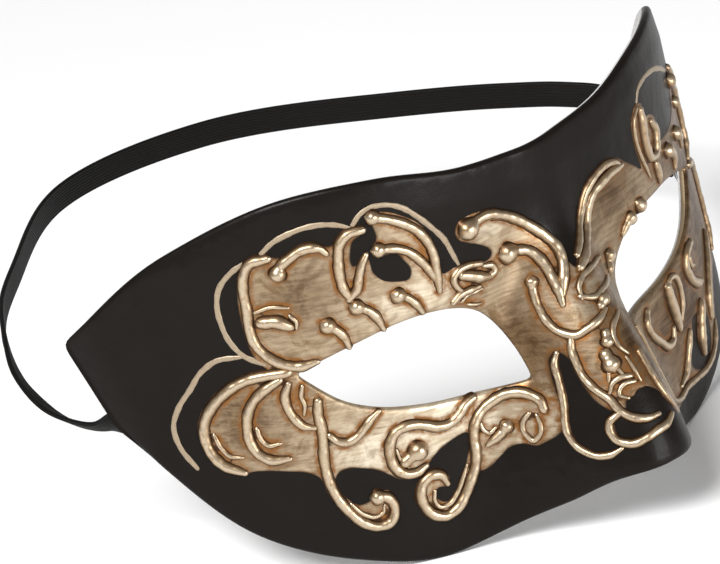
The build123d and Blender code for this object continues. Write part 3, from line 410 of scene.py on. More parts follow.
def smooth(points, step, closed=False):
    """Points about one step apart on a smooth curve through the given points."""
    knots = np.array(points, float)
    if closed:
        knots = np.vstack([knots[-1], knots, knots[0], knots[1]])
    else:
        knots = np.vstack([2 * knots[0] - knots[1], knots, 2 * knots[-1] - knots[-2]])
    spans = np.linalg.norm(np.diff(knots, axis=0), axis=1)
    slopes = np.diff(knots, axis=0) / spans[:, None]
    mixed = (slopes[:-1] * spans[1:, None] + slopes[1:] * spans[:-1, None])
    mixed /= (spans[:-1] + spans[1:])[:, None]
    made = []
    for i in range(1, len(knots) - 2):
        span = spans[i]
        count = max(1, int(round(span / step)))
        t = (np.arange(count) / count)[:, None]
        a, b = knots[i], knots[i + 1]
        ta, tb = mixed[i - 1] * span, mixed[i] * span
        made.append((2 * t**3 - 3 * t**2 + 1) * a + (t**3 - 2 * t**2 + t) * ta
                    + (3 * t**2 - 2 * t**3) * b + (t**3 - t**2) * tb)
    if not closed:
        made.append(knots[-2:-1])
    return np.vstack(made)


def whole_edge(half, step):
    """Smooth line across the whole mask from the points of its right half."""
    return smooth([(-p, z) for p, z in half[:0:-1]] + half, step)


def soften(loop, passes=3):
    """Round the corners of a closed loop a little."""
    for _ in range(passes):
        loop = (np.roll(loop, 1, 0) + 2 * loop + np.roll(loop, -1, 0)) / 4
    return loop


def smoothstep(low, high, value):
    """Smooth step from 0 at low to 1 at high."""
    t = np.clip((value - low) / (high - low), 0, 1)
    return t * t * (3 - 2 * t)


def sideways(loop):
    """Unit vectors square to a closed loop, in its plane."""
    along = np.roll(loop, -1, 0) - np.roll(loop, 1, 0)
    return unit(np.column_stack([-along[:, 1], along[:, 0]]))


def run_along(path):
    """Length of a path up to each of its points."""
    return np.concatenate([[0], np.cumsum(np.linalg.norm(np.diff(path, axis=0), axis=1))])


def inside(points, loop):
    """Which points lie inside a closed loop."""
    result = np.zeros(len(points), bool)
    x, y = points[:, 0], points[:, 1]
    for (xa, ya), (xb, yb) in zip(loop, np.roll(loop, -1, 0)):
        if ya == yb:
            continue
        crosses = (ya > y) != (yb > y)
        result ^= crosses & (x < (xb - xa) * (y - ya) / (yb - ya) + xa)
    return result


def in_field(points, loops):
    """Which points lie inside loops[0] and outside the other loops."""
    kept = inside(points, loops[0])
    for hole in loops[1:]:
        kept &= ~inside(points, hole)
    return kept


def search_tree(points):
    """Tree for finding the nearest point; points of a plane get a third coordinate of 0."""
    tree = KDTree(len(points))
    for i, point in enumerate(points):
        tree.insert((*point, 0.0)[:3], i)
    tree.balance()
    return tree


def distances(points, samples):
    """Distance from each point of a plane to the nearest sample."""
    tree = search_tree(samples)
    return np.array([tree.find((*point, 0.0))[2] for point in points])


# ---- the mask surface ----
def plain_surface(p, z):
    """The wrapped face with its nose, before the rim is turned back."""
    angle = TEMPLE_TURN * p / 100
    x = HALF_WIDTH * np.sin(angle) / math.sin(TEMPLE_TURN)
    wrap = ((1 - np.cos(angle)) / (1 - math.cos(TEMPLE_TURN))) ** WRAP_POWER
    drop = (NOSE_ROOT_Z - z) / (NOSE_ROOT_Z - NOSE_FOOT_Z)
    drop = (drop + np.sqrt(drop * drop + NOSE_ONSET)) / 2
    height = NOSE_HEIGHT * np.sin(math.pi / 2 * np.minimum(drop, 1.0))
    width = NOSE_WIDTH_ROOT + (NOSE_WIDTH_FOOT - NOSE_WIDTH_ROOT) * drop
    nose = height * np.exp(-np.abs(x / width) ** NOSE_POWER)
    y = WRAP_DEPTH * wrap * (1 + LEAN * z) - nose + SETBACK
    return np.stack([x, y, np.broadcast_to(z, np.shape(x)) * 1.0], -1)


def outward(p, z, step=0.1):
    """Unit vectors out of the face."""
    across = plain_surface(p + step, z) - plain_surface(p - step, z)
    upward = plain_surface(p, z + step) - plain_surface(p, z - step)
    return unit(np.cross(across, upward))


TOP_LINE = whole_edge(TOP_EDGE, 1.0)


def rim_roll(p, z):
    """The band along the top edge turns back from a crisp crease; negative is inward."""
    below_top = np.interp(p, TOP_LINE[:, 0], TOP_LINE[:, 1]) - z
    band = RIM_BAND * smoothstep(*RIM_BAND_ENDS, np.abs(p))
    return -RIM_SLOPE * np.maximum(band - np.maximum(below_top, 0), 0)


def end_facet(p, z):
    """How far the face is cut back along the temple ends."""
    (top_p, top_z), (low_p, low_z) = TOP_EDGE[-1], LOWER_EDGE[-1]
    end = np.interp(z, (low_z, top_z), (low_p, top_p))
    return END_SLOPE * np.maximum(END_BAND - np.maximum(end - np.abs(p), 0), 0)


def on_mask(p, z, lift=0.0):
    """Points of the lacquered face, raised by lift (mm)."""
    p, z = np.asarray(p, float), np.asarray(z, float)
    raise_by = np.asarray(lift, float) + rim_roll(p, z)
    return plain_surface(p, z) + outward(p, z) * np.broadcast_to(raise_by, p.shape)[..., None]


def mask_outline(step):
    """Closed outline of the mask."""
    end_right = smooth([TOP_EDGE[-1], LOWER_EDGE[-1]], step)[1:-1]
    end_left = end_right[::-1] * (-1, 1)
    loop = np.vstack([whole_edge(TOP_EDGE, step), end_right, whole_edge(LOWER_EDGE, step)[::-1], end_left])
    return soften(loop)[::-1]


def eye_loop(side, step):
    """Closed outline of one eye opening; side is -1 for left and 1 for right."""
    upper = EYE_UPPER if side < 0 else EYE_UPPER_RIGHT
    lower = EYE_LOWER if side < 0 else [(-p, z) for p, z in EYE_LOWER]
    return soften(np.vstack([smooth(upper, step)[:-1], smooth(lower, step)[:-1]]))


# ---- meshes ----
def make_piece(name, points, faces, material, body="mask", attributes=None):
    """Mesh object from points in mm; attributes are one number per point."""
    mesh = bpy.data.meshes.new(name)
    mesh.from_pydata((np.asarray(points) * MM).tolist(), [], faces)
    mesh.validate()
    mesh.shade_smooth()
    for key, values in (attributes or {}).items():
        mesh.attributes.new(key, "FLOAT", "POINT").data.foreach_set(
            "value", np.asarray(values, np.float32))
    mesh.materials.append(material)
    piece = bpy.data.objects.new(name, mesh)
    bpy.context.scene.collection.objects.link(piece)
    if body:
        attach(piece, body)
    return piece


def face_outward(piece):
    """Make all face normals of a closed mesh point outward."""
    work = bmesh.new()
    work.from_mesh(piece.data)
    bmesh.ops.recalc_face_normals(work, faces=work.faces)
    work.to_mesh(piece.data)
    work.free()


def swept(centres, first_axes, first_offsets, second_axes, second_offsets):
    """A grid of points: one row of offsets along two axes at every centre."""
    return (centres[:, None, :] + first_axes[:, None, :] * first_offsets[..., None]
            + second_axes[:, None, :] * second_offsets[..., None]).reshape(-1, 3)


def grid_faces(rows, columns, closed=False):
    """Quads of a grid of points; closed joins its last column to the first."""
    faces = []
    for i in range(rows - 1):
        for j in range(columns if closed else columns - 1):
            a, b = i * columns + j, i * columns + (j + 1) % columns
            faces.append((a, b, b + columns, a + columns))
    return faces


def dense_rim(loops):
    """The loops' points with three more between each two."""
    return np.vstack([loop + (np.roll(loop, -1, 0) - loop) * t
                      for loop in loops for t in (0, 0.25, 0.5, 0.75)])


def triangles_in(loops, step, insets):
    """Girth points and triangles that fill loops[0] outside the other loops.

    The loops' own points come first. Rows of points follow at each inset from the loops.
    """
    low, high = loops[0].min(0), loops[0].max(0)
    across = np.arange(low[0], high[0], step)
    inner = np.vstack([np.column_stack([across + (i % 2) * step / 2, np.full(len(across), z)])
                       for i, z in enumerate(np.arange(low[1], high[1], step * math.sqrt(3) / 2))])
    dense = dense_rim(loops)
    inner = inner[in_field(inner, loops)]
    inner = inner[distances(inner, dense) > max(insets) + FREE_OF_ROWS * step]
    rings = []
    for loop in loops:
        normal = sideways(loop)
        for inset in insets:
            for side in (-1, 1):
                ring = loop + normal * inset * side
                ring = ring[in_field(ring, loops)]
                if len(ring):
                    rings.append(ring[distances(ring, dense) > inset * OWN_ROW])
    edges, start = [], 0
    for loop in loops:
        count = len(loop)
        edges += [(start + i, start + (i + 1) % count) for i in range(count)]
        start += count
    points = np.vstack(loops + rings + [inner])
    made = delaunay_2d_cdt([Vector(point) for point in points], edges, [], 0, 1e-4, True)
    flat = np.array([tuple(corner) for corner in made[0]])
    faces = np.array([tuple(face) for face in made[2]])
    faces = faces[in_field(flat[faces].mean(1), loops)]
    a, b, c = flat[faces[:, 0]], flat[faces[:, 1]], flat[faces[:, 2]]
    turned = (b - a)[:, 0] * (c - a)[:, 1] - (b - a)[:, 1] * (c - a)[:, 0] < 0
    faces[turned] = faces[turned][:, ::-1]
    return flat, faces


def rounded(depth_in, radius):
    """How far a rounded edge falls back, by distance from the edge."""
    t = np.clip(1 - depth_in / radius, 0, 1)
    return radius * (1 - np.sqrt(1 - t * t))


def pulled_in(loop, by):
    """Loop moved inward by a distance, or outward where it is negative."""
    normal = sideways(loop)
    moved = loop + normal * by
    if inside(moved[:1], loop)[0] != (by > 0):
        moved = loop - normal * by
    return moved


# ---- shell and inner coat ----
def shell_solid(name, top_lift, foot_lift, inset, radius, material, lacquered=False):
    """A skin of the whole mask between two lifts, closed with a rounded rim.

    Only the lacquered shell has facets at the temples and gilded eye edges.
    """
    loops = [mask_outline(RIM_STEP), eye_loop(-1, EYE_STEP), eye_loop(1, EYE_STEP)]
    if inset:
        loops = [pulled_in(loop, inset * (1 if i == 0 else -1)) for i, loop in enumerate(loops)]
    flat, faces = triangles_in(loops, SHEET_STEP, [radius * share for share in RIM_RINGS])
    p, z = flat[:, 0], flat[:, 1]
    fall = rounded(distances(flat, dense_rim(loops)), radius)
    facet = end_facet(p, z) if lacquered else 0.0
    top = on_mask(p, z, np.maximum(top_lift - fall - facet, foot_lift + fall + LEAST_THICKNESS))
    foot = on_mask(p, z, foot_lift + fall)
    count = len(flat)
    all_faces = faces.tolist() + (faces[:, ::-1] + count).tolist()
    first = 0
    for loop in loops:
        ring = list(range(first, first + len(loop)))
        for i, j in zip(ring, ring[1:] + ring[:1]):
            all_faces.append((j, i, i + count, j + count))
        first += len(loop)
    attributes = {}
    if lacquered:
        from_eyes = distances(flat, np.vstack(loops[1:]))
        attributes["gilded"] = np.tile(smoothstep(GILDED_EDGE, GILDED_EDGE / 2, from_eyes), 2)
    piece = make_piece(name, np.vstack([top, foot]), all_faces, material, attributes=attributes)
    face_outward(piece)
    return piece


# ---- piped strokes ----
def stroke_mesh(radius, path, start_ball=0, end_ball=0, height=BEAD_HEIGHT, wobble=BEAD_WOBBLE,
                swell=BEAD_SWELL):
    """One piped stroke: points, faces, crown value of each point, centres with half widths."""
    radius, start_ball, end_ball = radius * swell, start_ball * BALL_SWELL, end_ball * BALL_SWELL
    start_reach, end_reach = max(start_ball, radius), max(end_ball, radius)
    line = smooth(path, BEAD_STEP)
    head, foot = unit(line[0] - line[1]), unit(line[-1] - line[-2])
    before = line[0] + head * np.arange(start_reach, 0, -BEAD_STEP)[:, None]
    after = line[-1] + foot * np.append(np.arange(BEAD_STEP, end_reach, BEAD_STEP), end_reach)[:, None]
    line = np.vstack([before, line, after])
    space = on_mask(line[:, 0], line[:, 1])
    run = run_along(space)
    length = run[-1]
    slow, quick, _ = rng.uniform(0, 6.28, 3)
    waves = np.sin(run * SLOW_WAVE + slow) + QUICK_SHARE * np.sin(run * QUICK_WAVE + quick)
    width = radius * (1 + wobble * waves)
    if end_ball == 0 and length > LONG_STROKE * radius:
        tail = smoothstep(0, min(TAIL_RUN, length * TAIL_PART), length - run)
        width = width * (TAIL_SHARE + (1 - TAIL_SHARE) * tail)
    if start_ball == 0 and length > LONG_STROKE * radius:
        tip = smoothstep(0, min(HEAD_RUN, length * HEAD_PART), run)
        width = width * (HEAD_SHARE + (1 - HEAD_SHARE) * tip)
    for ball, away in ((start_ball, run - start_reach), (end_ball, run - (length - end_reach))):
        if ball > 0:
            bulb = np.sqrt(np.maximum(ball**2 - away**2, 0))
            past = np.maximum(np.abs(away) - NECK_FLAT * ball, 0)
            neck = ball * NECK_SHARE * np.exp(-past**2 / (NECK_REACH * ball)**2)
            width = np.maximum(width, np.maximum(bulb, neck))
    head_cap = np.clip(run / max(width[3], HEAD_CAP), 0, 1)
    tail_cap = np.clip((length - run) / max(width[-4], TAIL_CAP), 0, 1)
    close = np.sqrt(1 - (1 - head_cap)**2) * np.sqrt(1 - (1 - tail_cap)**2)
    width = width * np.maximum(close, LEAST_WIDTH)
    across, up = PROFILE.T
    normal = outward(line[:, 0], line[:, 1])
    side = unit(np.cross(normal, unit(np.gradient(space, axis=0))))
    upward = width[:, None] * np.where(up < 0, up, up * height) - BEAD_SINK * (up < 0)
    points = swept(space, side, width[:, None] * across, normal, upward)
    crown = np.tile(np.maximum(up, 0), len(line))
    return points, grid_faces(len(line), len(PROFILE)), crown, np.column_stack([space, width])


def relief_piece(name, strokes, material, slot, **options):
    """One motif made of piped strokes; returns the piece and its centre points."""
    made = [stroke_mesh(*stroke, **options) for stroke in strokes]
    points, faces, crowns, centres = zip(*made)
    all_faces, start = [], 0
    for own_points, own_faces in zip(points, faces):
        all_faces += [tuple(start + k for k in face) for face in own_faces]
        start += len(own_points)
    piece = make_piece(name, np.vstack(points), all_faces, material,
                       attributes={"crown": np.concatenate(crowns)})
    return piece, np.vstack(centres)


# ---- leaf ----
def free_edges(loops, eye, others):
    """Points of the leaf's loops that border bare lacquer: no other leaf and no eye opening."""
    free = []
    for loop in loops:
        normal = sideways(loop)
        at_eye = inside(loop, eye) | (distances(loop, eye) < AT_EYE)
        for side in (1, -1):
            probe = loop + normal * LEAF_PROBE * side
            bare = inside(probe, loop) == (loop is not loops[0])
            for other in others:
                bare &= ~inside(probe, other)
            free.append(loop[bare & ~at_eye])
    return np.vstack(free)


def patches(table, p, z):
    """Sum of soft patches, at most 1."""
    total = np.zeros(len(p))
    for centre_p, centre_z, reach_p, reach_z, weight in table:
        total += weight * np.exp(-((p - centre_p) / reach_p)**2 - ((z - centre_z) / reach_z)**2)
    return np.clip(total, 0, 1)


def leaf_piece(name, others, beads, material):
    """One field of leaf: a thin sheet whose free edges feather out onto the lacquer.

    others are the outlines of the other fields, beads the centres and half widths of all strokes.
    """
    holes = [BARE_PATCH_RIGHT] if name == "leaf_cheek_right" else []
    loops = [smooth(outline, LEAF_OUTLINE_STEP, closed=True) for outline in [LEAF_FIELDS[name]] + holes]
    eye = eye_loop(-1 if name.endswith("left") else 1, EYE_STEP)
    flat, faces = triangles_in(loops + [eye], LEAF_STEP, (LEAF_INSET, LEAF_FEATHER))
    p, z = flat[:, 0], flat[:, 1]
    from_edge = distances(flat, free_edges(loops, eye, others))
    lift = LEAF_LIFT * smoothstep(-0.1, LEAF_FEATHER, from_edge) - LEAF_TUCK * (from_edge < TUCK_WIDTH)
    lift = lift - rounded(distances(flat, smooth(eye, EYE_FINE_STEP, closed=True)), RIM_ROUND)
    points = on_mask(p, z, lift)
    bead_tree = search_tree(beads)
    nearest = [bead_tree.find(point) for point in points]
    past_bead = np.array([gap - beads[i, 3] for _, i, gap in nearest])
    wax = np.exp(-(np.maximum(past_bead, 0) / WAX_REACH)**2)
    return make_piece("foil_" + name, points, faces.tolist(), material,
                      attributes={"wax": wax, "edge": from_edge, "cream": patches(CREAM_PATCHES, p, z),
                                  "patina_and_shade": patches(PATINA_AND_SHADE_PATCHES, p, z)})


# ---- strap ----
def glued_end(side):
    """Middle line of the band where it is glued inside one temple, up to the hinge."""
    girth = np.linspace(60, 100, 80)
    level = np.full(80, HINGE_Z)
    inner = plain_surface(girth, level) - outward(girth, level) * SHELL_THICKNESS
    ys = np.arange(STRAP_TAB_Y, HINGE_Y - STRAP_TAB_GAP, STRAP_TAB_STEP)
    p = side * np.interp(ys, inner[:, 1], girth)
    z = np.full(len(p), HINGE_Z)
    depth = SHELL_THICKNESS + LINING_THICKNESS + PAD_THICKNESS + STRAP_THICKNESS / 2
    return plain_surface(p, z) - outward(p, z) * depth


def band_section():
    """Closed cross section of the ribbed band: up, out and rib value of each point."""
    t = np.linspace(-1, 1, STRAP_RIBS * RIB_POINTS + 1)
    rib = 0.5 + 0.5 * np.cos(t * STRAP_RIBS * math.pi)
    past_edge = (np.abs(t) - (1 - STRAP_EDGE)).clip(0)
    edge = np.sqrt(np.clip(1 - past_edge**2 / STRAP_EDGE**2, 0, 1))
    half = STRAP_THICKNESS / 2 * (RIB_VALLEY + (1 - RIB_VALLEY) * rib) * edge
    up = t * STRAP_WIDTH / 2
    return (np.concatenate([up, up[::-1]]), np.concatenate([half, -half[::-1]]),
            np.concatenate([rib, rib[::-1]]))


def strap_ribbon(name, material):
    """Flat elastic band: glued inside one temple, round the head, glued inside the other.

    Returns the piece and the length of its middle line.
    """
    loop = smooth(STRAP_LOOP, STRAP_LOOP_STEP)
    path = np.column_stack([loop[:, 0], HINGE_Y + loop[:, 1] * math.cos(STRAP_TILT),
                            HINGE_Z + loop[:, 1] * math.sin(STRAP_TILT) + loop[:, 2]])
    path = smooth(np.vstack([glued_end(-1), path[1:-1], glued_end(1)[::-1]]), STRAP_STEP)
    tangent = unit(np.gradient(path, axis=0))
    upward = np.array([0, -math.sin(STRAP_TILT), math.cos(STRAP_TILT)])
    upward = unit(upward - tangent * (tangent @ upward)[:, None])
    across = np.cross(tangent, upward)
    behind = path[:, 1] - HINGE_Y
    twist = smoothstep(*TWIST_ON, behind) * smoothstep(*TWIST_OFF, behind) * (path[:, 0] < 0)
    lean = (-STRAP_TWIST * twist)[:, None]
    upward, across = (upward * np.cos(lean) + across * np.sin(lean),
                      across * np.cos(lean) - upward * np.sin(lean))
    offset_up, offset_out, ribs = band_section()
    points = swept(path, upward, offset_up[None, :], across, offset_out[None, :])
    rows, around = len(path), len(ribs)
    faces = grid_faces(rows, around, closed=True)
    faces.append(tuple(range(around))[::-1])
    faces.append(tuple((rows - 1) * around + j for j in range(around)))
    band = make_piece(name, points, faces, material, body=None,
                      attributes={"rib": np.tile(ribs, rows)})
    face_outward(band)
    return band, run_along(path)[-1]


# ---- materials ----
WANDER_SCALE = 0.035        # size of the bends in brush strokes


class Paint:
    """Small helper that builds one procedural material."""

    def __init__(self, name):
        self.material = bpy.data.materials.new(name)
        self.material.use_nodes = True
        self.tree = self.material.node_tree
        self.shader = self.tree.nodes["Principled BSDF"]
        place = self.add("ShaderNodeNewGeometry")
        scaled = self.add("ShaderNodeVectorMath", operation="SCALE")
        self.tree.links.new(place.outputs["Position"], scaled.inputs[0])
        scaled.inputs["Scale"].default_value = 1 / MM
        self.place = scaled.outputs[0]

    def add(self, kind, **settings):
        """New node with its settings."""
        node = self.tree.nodes.new(kind)
        for key, value in settings.items():
            setattr(node, key, value)
        return node

    def feed(self, socket, value):
        """Connect a socket or set a plain value."""
        if isinstance(value, bpy.types.NodeSocket):
            self.tree.links.new(value, socket)
        else:
            socket.default_value = value

    def set(self, **values):
        """Set shader inputs by their names written with underscores."""
        for key, value in values.items():
            self.feed(self.shader.inputs[key.replace("_", " ")], value)

    def attribute(self, name):
        """Value of one of the mesh's own attributes."""
        return self.add("ShaderNodeAttribute", attribute_name=name).outputs["Fac"]

    def noise(self, scale, detail=3.0, roughness=0.55, distortion=0.0, vector=None):
        node = self.add("ShaderNodeTexNoise")
        self.feed(node.inputs["Vector"], vector or self.place)
        self.feed(node.inputs["Scale"], scale)
        node.inputs["Detail"].default_value = detail
        node.inputs["Roughness"].default_value = roughness
        node.inputs["Distortion"].default_value = distortion
        return node.outputs["Fac"]

    def math(self, operation, a, b=0.0, clamp=False):
        node = self.add("ShaderNodeMath", operation=operation, use_clamp=clamp)
        self.feed(node.inputs[0], a)
        self.feed(node.inputs[1], b)
        return node.outputs[0]

    def times(self, a, b):
        return self.math("MULTIPLY", a, b)

    def remap(self, value, low, high, to_low=0.0, to_high=1.0):
        """Smooth step between low and high, scaled to run from to_low to to_high."""
        node = self.add("ShaderNodeMapRange", interpolation_type="SMOOTHSTEP")
        for socket, number in zip(node.inputs[1:5], (low, high, to_low, to_high)):
            socket.default_value = number
        self.feed(node.inputs["Value"], value)
        return node.outputs["Result"]

    def mix(self, factor, a, b):
        node = self.add("ShaderNodeMix", data_type="RGBA")
        self.feed(node.inputs["Factor"], factor)
        for socket, value in ((node.inputs[6], a), (node.inputs[7], b)):
            if isinstance(value, tuple):
                value = (*value, 1.0)
            self.feed(socket, value)
        return node.outputs[2]

    def bump(self, height, depth_mm, strength=1.0, under=None):
        node = self.add("ShaderNodeBump")
        node.inputs["Strength"].default_value = strength
        node.inputs["Distance"].default_value = depth_mm * MM
        self.feed(node.inputs["Height"], height)
        if under is not None:
            self.feed(node.inputs["Normal"], under)
        return node.outputs["Normal"]

    def brushed(self, scale, stretch, distortion):
        """Curving brush strokes: noise pulled out along a direction that wanders."""
        wander = self.add("ShaderNodeTexNoise")
        self.feed(wander.inputs["Vector"], self.place)
        wander.inputs["Scale"].default_value = WANDER_SCALE
        wander.inputs["Detail"].default_value = 1.0
        bend = self.add("ShaderNodeVectorMath", operation="SCALE")
        self.feed(bend.inputs[0], wander.outputs["Color"])
        bend.inputs["Scale"].default_value = distortion
        moved = self.add("ShaderNodeVectorMath", operation="ADD")
        self.feed(moved.inputs[0], self.place)
        self.feed(moved.inputs[1], bend.outputs[0])
        shaped = self.add("ShaderNodeMapping")
        self.feed(shaped.inputs["Vector"], moved.outputs[0])
        shaped.inputs["Scale"].default_value = stretch
        return self.noise(scale, 4.0, 0.65, 0.4, shaped.outputs[0])


def black_lacquer():
    paint = Paint("black_lacquer")
    grain = paint.noise(1.6, 3.0, 0.6)
    waves = paint.noise(0.09, 2.0)
    specks = paint.remap(paint.noise(0.9, 4.0, 0.7), 0.62, 0.78)
    gilded = paint.attribute("gilded")
    colour = paint.mix(waves, (0.0040, 0.0026, 0.0018), (0.0066, 0.0046, 0.0032))
    colour = paint.mix(paint.times(specks, 0.3), colour, (0.022, 0.017, 0.013))
    colour = paint.mix(gilded, colour, (0.36, 0.27, 0.17))
    rough = paint.math("ADD", paint.times(grain, 0.14), 0.31)
    paint.set(Base_Color=colour, Roughness=rough, Specular_IOR_Level=0.10)
    paint.set(Coat_Weight=0.04, Coat_Roughness=0.10, Metallic=paint.times(gilded, 0.6))
    soft = paint.bump(waves, 0.9, 0.5)
    paint.set(Normal=paint.bump(grain, 0.08, 0.8, soft), Coat_Normal=soft)
    return paint.material


def champagne_leaf():
    paint = Paint("champagne_leaf")
    strokes = paint.brushed(0.55, (0.10, 0.5, 2.0), 5.0)
    fine = paint.noise(2.2, 3.0, 0.6)
    cloud = paint.noise(0.13, 5.0, 0.62, 0.9)
    cream, patina_and_shade = paint.attribute("cream"), paint.attribute("patina_and_shade")
    wax, edge = paint.attribute("wax"), paint.attribute("edge")
    mottled = paint.math("ADD", paint.times(strokes, 0.4), paint.times(cloud, 0.6))
    tone = paint.remap(mottled, 0.38, 0.60)
    colour = paint.mix(tone, (0.250, 0.178, 0.108), (0.45, 0.355, 0.240))
    bright = paint.mix(tone, (0.50, 0.41, 0.29), (0.82, 0.74, 0.59))
    patina_and_shade_tone = paint.mix(tone, (0.062, 0.031, 0.013), (0.170, 0.106, 0.054))
    colour = paint.mix(cream, colour, bright)
    browned = paint.remap(cloud, 0.52, 0.68, 0.0, 0.6)
    # patina, and painted shade over the right half, darken the leaf towards the dark brown tone
    colour = paint.mix(paint.math("ADD", patina_and_shade, browned, clamp=True), colour, patina_and_shade_tone)
    scratch = paint.times(paint.remap(strokes, 0.40, 0.30), 0.4)
    colour = paint.mix(scratch, colour, (0.110, 0.055, 0.022))
    patchy = paint.remap(paint.noise(0.33, 3.0, 0.6), 0.36, 0.62, 0.35, 1.0)
    halo = paint.times(paint.remap(wax, 0.05, 0.75), patchy)
    colour = paint.mix(halo, colour, (0.205, 0.085, 0.022))
    foot = paint.times(paint.remap(wax, 0.84, 1.0), 0.9)
    colour = paint.mix(foot, colour, (0.030, 0.014, 0.007))
    outlined = paint.times(paint.remap(edge, 0.9, 0.1), patchy)
    colour = paint.mix(outlined, colour, (0.105, 0.050, 0.018))
    torn = paint.times(paint.remap(edge, 0.35, 0.05), 0.8)
    colour = paint.mix(torn, colour, (0.018, 0.012, 0.008))
    rough = paint.remap(mottled, 0.3, 0.7, 0.44, 0.32)
    paint.set(Base_Color=colour, Metallic=0.70, Roughness=rough, Specular_IOR_Level=0.2)
    grooves = paint.bump(strokes, 0.10, 0.5)
    paint.set(Normal=paint.bump(fine, 0.03, 0.5, grooves))
    return paint.material


def piped_relief():
    paint = Paint("piped_relief")
    fine = paint.noise(2.4, 3.0, 0.6)
    blotch = paint.noise(0.42, 3.0)
    crown = paint.attribute("crown")
    colour = paint.mix(blotch, (0.25, 0.165, 0.090), (0.42, 0.310, 0.195))
    top = paint.math("ADD", crown, paint.times(paint.math("SUBTRACT", fine, 0.5), 0.25))
    # painted highlight: the crown of each bead is coloured lighter
    colour = paint.mix(paint.remap(top, 0.80, 1.12), colour, (0.60, 0.50, 0.37))
    worn = paint.times(paint.remap(blotch, 0.56, 0.68), 0.55)
    colour = paint.mix(worn, colour, (0.26, 0.150, 0.068))
    # painted shade, partly brown wax at the foot: the sides of each bead are coloured dark brown
    colour = paint.mix(paint.remap(top, 0.68, 0.14), colour, (0.060, 0.027, 0.010))
    rough = paint.remap(top, 0.3, 1.0, 0.42, 0.33)
    paint.set(Base_Color=colour, Metallic=0.92, Roughness=rough, Coat_Weight=0.10, Coat_Roughness=0.2)
    slow = paint.bump(blotch, 0.15, 0.3)
    paint.set(Normal=paint.bump(fine, 0.035, 0.5, slow))
    return paint.material


def gilt_line():
    paint = Paint("gilt_line")
    strokes = paint.brushed(1.4, (0.6, 1.0, 1.5), 5.0)
    fine = paint.noise(2.8, 3.0, 0.6)
    colour = paint.mix(strokes, (0.21, 0.155, 0.098), (0.38, 0.300, 0.208))
    gap = paint.times(paint.remap(fine, 0.60, 0.72), 0.8)
    colour = paint.mix(gap, colour, (0.055, 0.040, 0.030))
    paint.set(Base_Color=colour, Metallic=0.4, Roughness=0.42)
    paint.set(Normal=paint.bump(fine, 0.05, 0.7))
    return paint.material


def grey_lining():
    paint = Paint("grey_lining")
    fibres = paint.noise(1.1, 5.0, 0.7, 0.6)
    blotch = paint.noise(0.07, 3.0)
    colour = paint.mix(blotch, (0.50, 0.49, 0.48), (0.66, 0.65, 0.64))
    colour = paint.mix(paint.remap(fibres, 0.45, 0.8), colour, (0.40, 0.39, 0.385))
    paint.set(Base_Color=colour, Roughness=0.85)
    paint.set(Normal=paint.bump(fibres, 0.12, 0.7))
    return paint.material


def black_elastic():
    paint = Paint("black_elastic")
    knit = paint.noise(2.6, 3.0, 0.6)
    rib = paint.attribute("rib")
    # painted shade: the valleys between the ribs are coloured darker than the crests
    colour = paint.mix(rib, (0.0018, 0.0014, 0.0011), (0.0055, 0.0045, 0.0038))
    colour = paint.mix(paint.remap(knit, 0.5, 0.8), colour, (0.009, 0.0075, 0.0065))
    paint.set(Base_Color=colour, Roughness=0.55, Specular_IOR_Level=0.14)
    paint.set(Sheen_Weight=0.015, Sheen_Roughness=0.4)
    paint.set(Normal=paint.bump(knit, 0.10, 0.8))
    return paint.material


def felt():
    paint = Paint("pad_felt")
    fuzz = paint.noise(1.9, 5.0, 0.75)
    colour = paint.mix(fuzz, (0.018, 0.018, 0.018), (0.060, 0.058, 0.057))
    paint.set(Base_Color=colour, Roughness=0.95, Sheen_Weight=0.5)
    paint.set(Normal=paint.bump(fuzz, 0.25, 0.9))
    return paint.material


# ---- building the mask ----
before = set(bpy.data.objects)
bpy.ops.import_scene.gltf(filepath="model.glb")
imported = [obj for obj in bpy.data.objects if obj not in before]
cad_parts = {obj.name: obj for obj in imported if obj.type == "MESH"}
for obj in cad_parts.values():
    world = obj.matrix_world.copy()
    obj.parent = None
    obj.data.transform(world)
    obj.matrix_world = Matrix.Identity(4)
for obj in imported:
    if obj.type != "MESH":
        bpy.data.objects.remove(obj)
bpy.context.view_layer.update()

leaf_look, relief_look, gilt_look = champagne_leaf(), piped_relief(), gilt_line()

shell = shell_solid("lacquered_shell", 0.0, -SHELL_THICKNESS, 0.0, RIM_ROUND, black_lacquer(),
                    lacquered=True)
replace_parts(shell, "mask_shell")
lining = shell_solid("grey_inner_coat", -SHELL_THICKNESS + LINING_OVERLAP,
                     -SHELL_THICKNESS - LINING_THICKNESS, LINING_INSET, LINING_ROUND, grey_lining())
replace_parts(lining, "inner_lining")

# relief first: the leaf needs to know how far every point is from a bead
beads = []
for name, strokes in RELIEF.items():
    piece, centres = relief_piece("bead_" + name, strokes, relief_look, "piped_relief")
    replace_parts(piece, name)
    beads.append(centres)
for name, (radius, path) in FINE_STROKES.items():
    piece, centres = relief_piece(name, [(radius, path)], relief_look, "piped_relief")
    beads.append(centres)
beads = np.vstack(beads)

for name, path in GILT_LINES.items():
    piece, _ = relief_piece("painted_" + name, [(GILT_HALF_WIDTH, path)], gilt_look, "gilt_line",
                            height=GILT_RISE, wobble=GILT_WOBBLE, swell=1.0)
    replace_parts(piece, name)

curves = {name: smooth(outline, NEIGHBOUR_STEP, closed=True) for name, outline in LEAF_FIELDS.items()}
for name in LEAF_FIELDS:
    others = [curve for other, curve in curves.items() if other != name]
    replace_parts(leaf_piece(name, others, beads, leaf_look), name)

strap, strap_length = strap_ribbon("elastic_band", black_elastic())
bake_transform(strap)
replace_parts(strap, "elastic_strap", "strap_end_left", "strap_end_right")

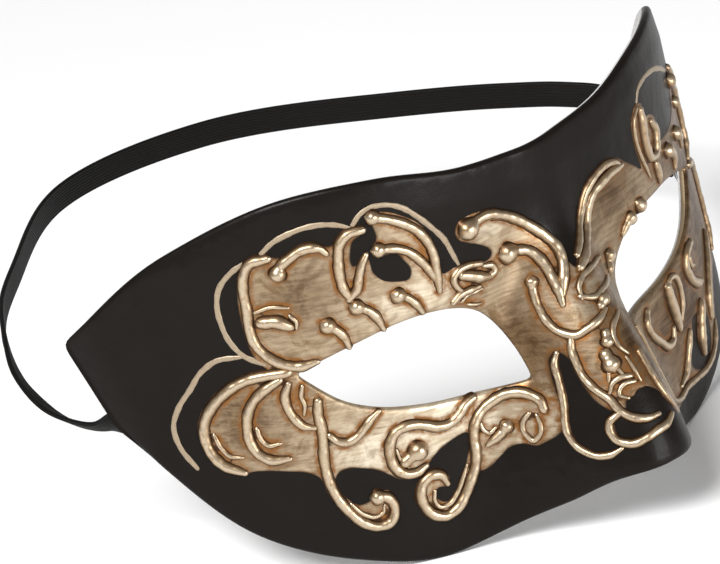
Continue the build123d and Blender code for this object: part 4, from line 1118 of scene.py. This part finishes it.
felt_look = felt()
for side in ("left", "right"):
    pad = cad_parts["anchor_pad_" + side]
    pad.data.materials.clear()
    pad.data.materials.append(felt_look)

# ---- stage, light, camera ----
paper = Paint("studio_paper")
paper.set(Base_Color=(PAPER_WHITE, PAPER_WHITE, PAPER_WHITE, 1.0), Roughness=0.9)
floor_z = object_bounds()[0].z
floor_mesh = bpy.data.meshes.new("floor")
floor_mesh.from_pydata([(-FLOOR_HALF, -FLOOR_HALF, floor_z), (FLOOR_HALF, -FLOOR_HALF, floor_z),
                        (FLOOR_HALF, FLOOR_HALF, floor_z), (-FLOOR_HALF, FLOOR_HALF, floor_z)],
                       [], [(0, 1, 2, 3)])
floor_mesh.materials.append(paper.material)
floor = bpy.data.objects.new("floor", floor_mesh)
bpy.context.scene.collection.objects.link(floor)

world = bpy.data.worlds.new("studio")
bpy.context.scene.world = world
world.use_nodes = True
background = world.node_tree.nodes["Background"]
background.inputs["Color"].default_value = (1.0, 1.0, 1.0, 1.0)
background.inputs["Strength"].default_value = WORLD_STRENGTH

for name, position, aim, width, height, power in LIGHTS:
    data = bpy.data.lights.new(name, "AREA")
    data.shape = "RECTANGLE"
    data.size, data.size_y = width, height
    data.energy = power
    lamp = bpy.data.objects.new(name, data)
    lamp.location = position
    lamp.rotation_euler = (Vector(aim) - Vector(position)).to_track_quat("-Z", "Y").to_euler()
    bpy.context.scene.collection.objects.link(lamp)

camera_data = bpy.data.cameras.new("camera")
camera_data.lens = CAMERA_LENS
camera_data.sensor_width = 36.0
camera = bpy.data.objects.new("camera", camera_data)
turn = (Matrix.Rotation(math.radians(CAMERA_AZIMUTH), 4, "Z")
        @ Matrix.Rotation(math.radians(90 - CAMERA_ELEVATION), 4, "X")
        @ Matrix.Rotation(math.radians(CAMERA_ROLL), 4, "Z"))
camera.matrix_world = Matrix.Translation(Vector(CAMERA_PLACE) * MM) @ turn
bpy.context.scene.collection.objects.link(camera)
bpy.context.scene.camera = camera
bpy.context.scene.view_settings.view_transform = "Standard"
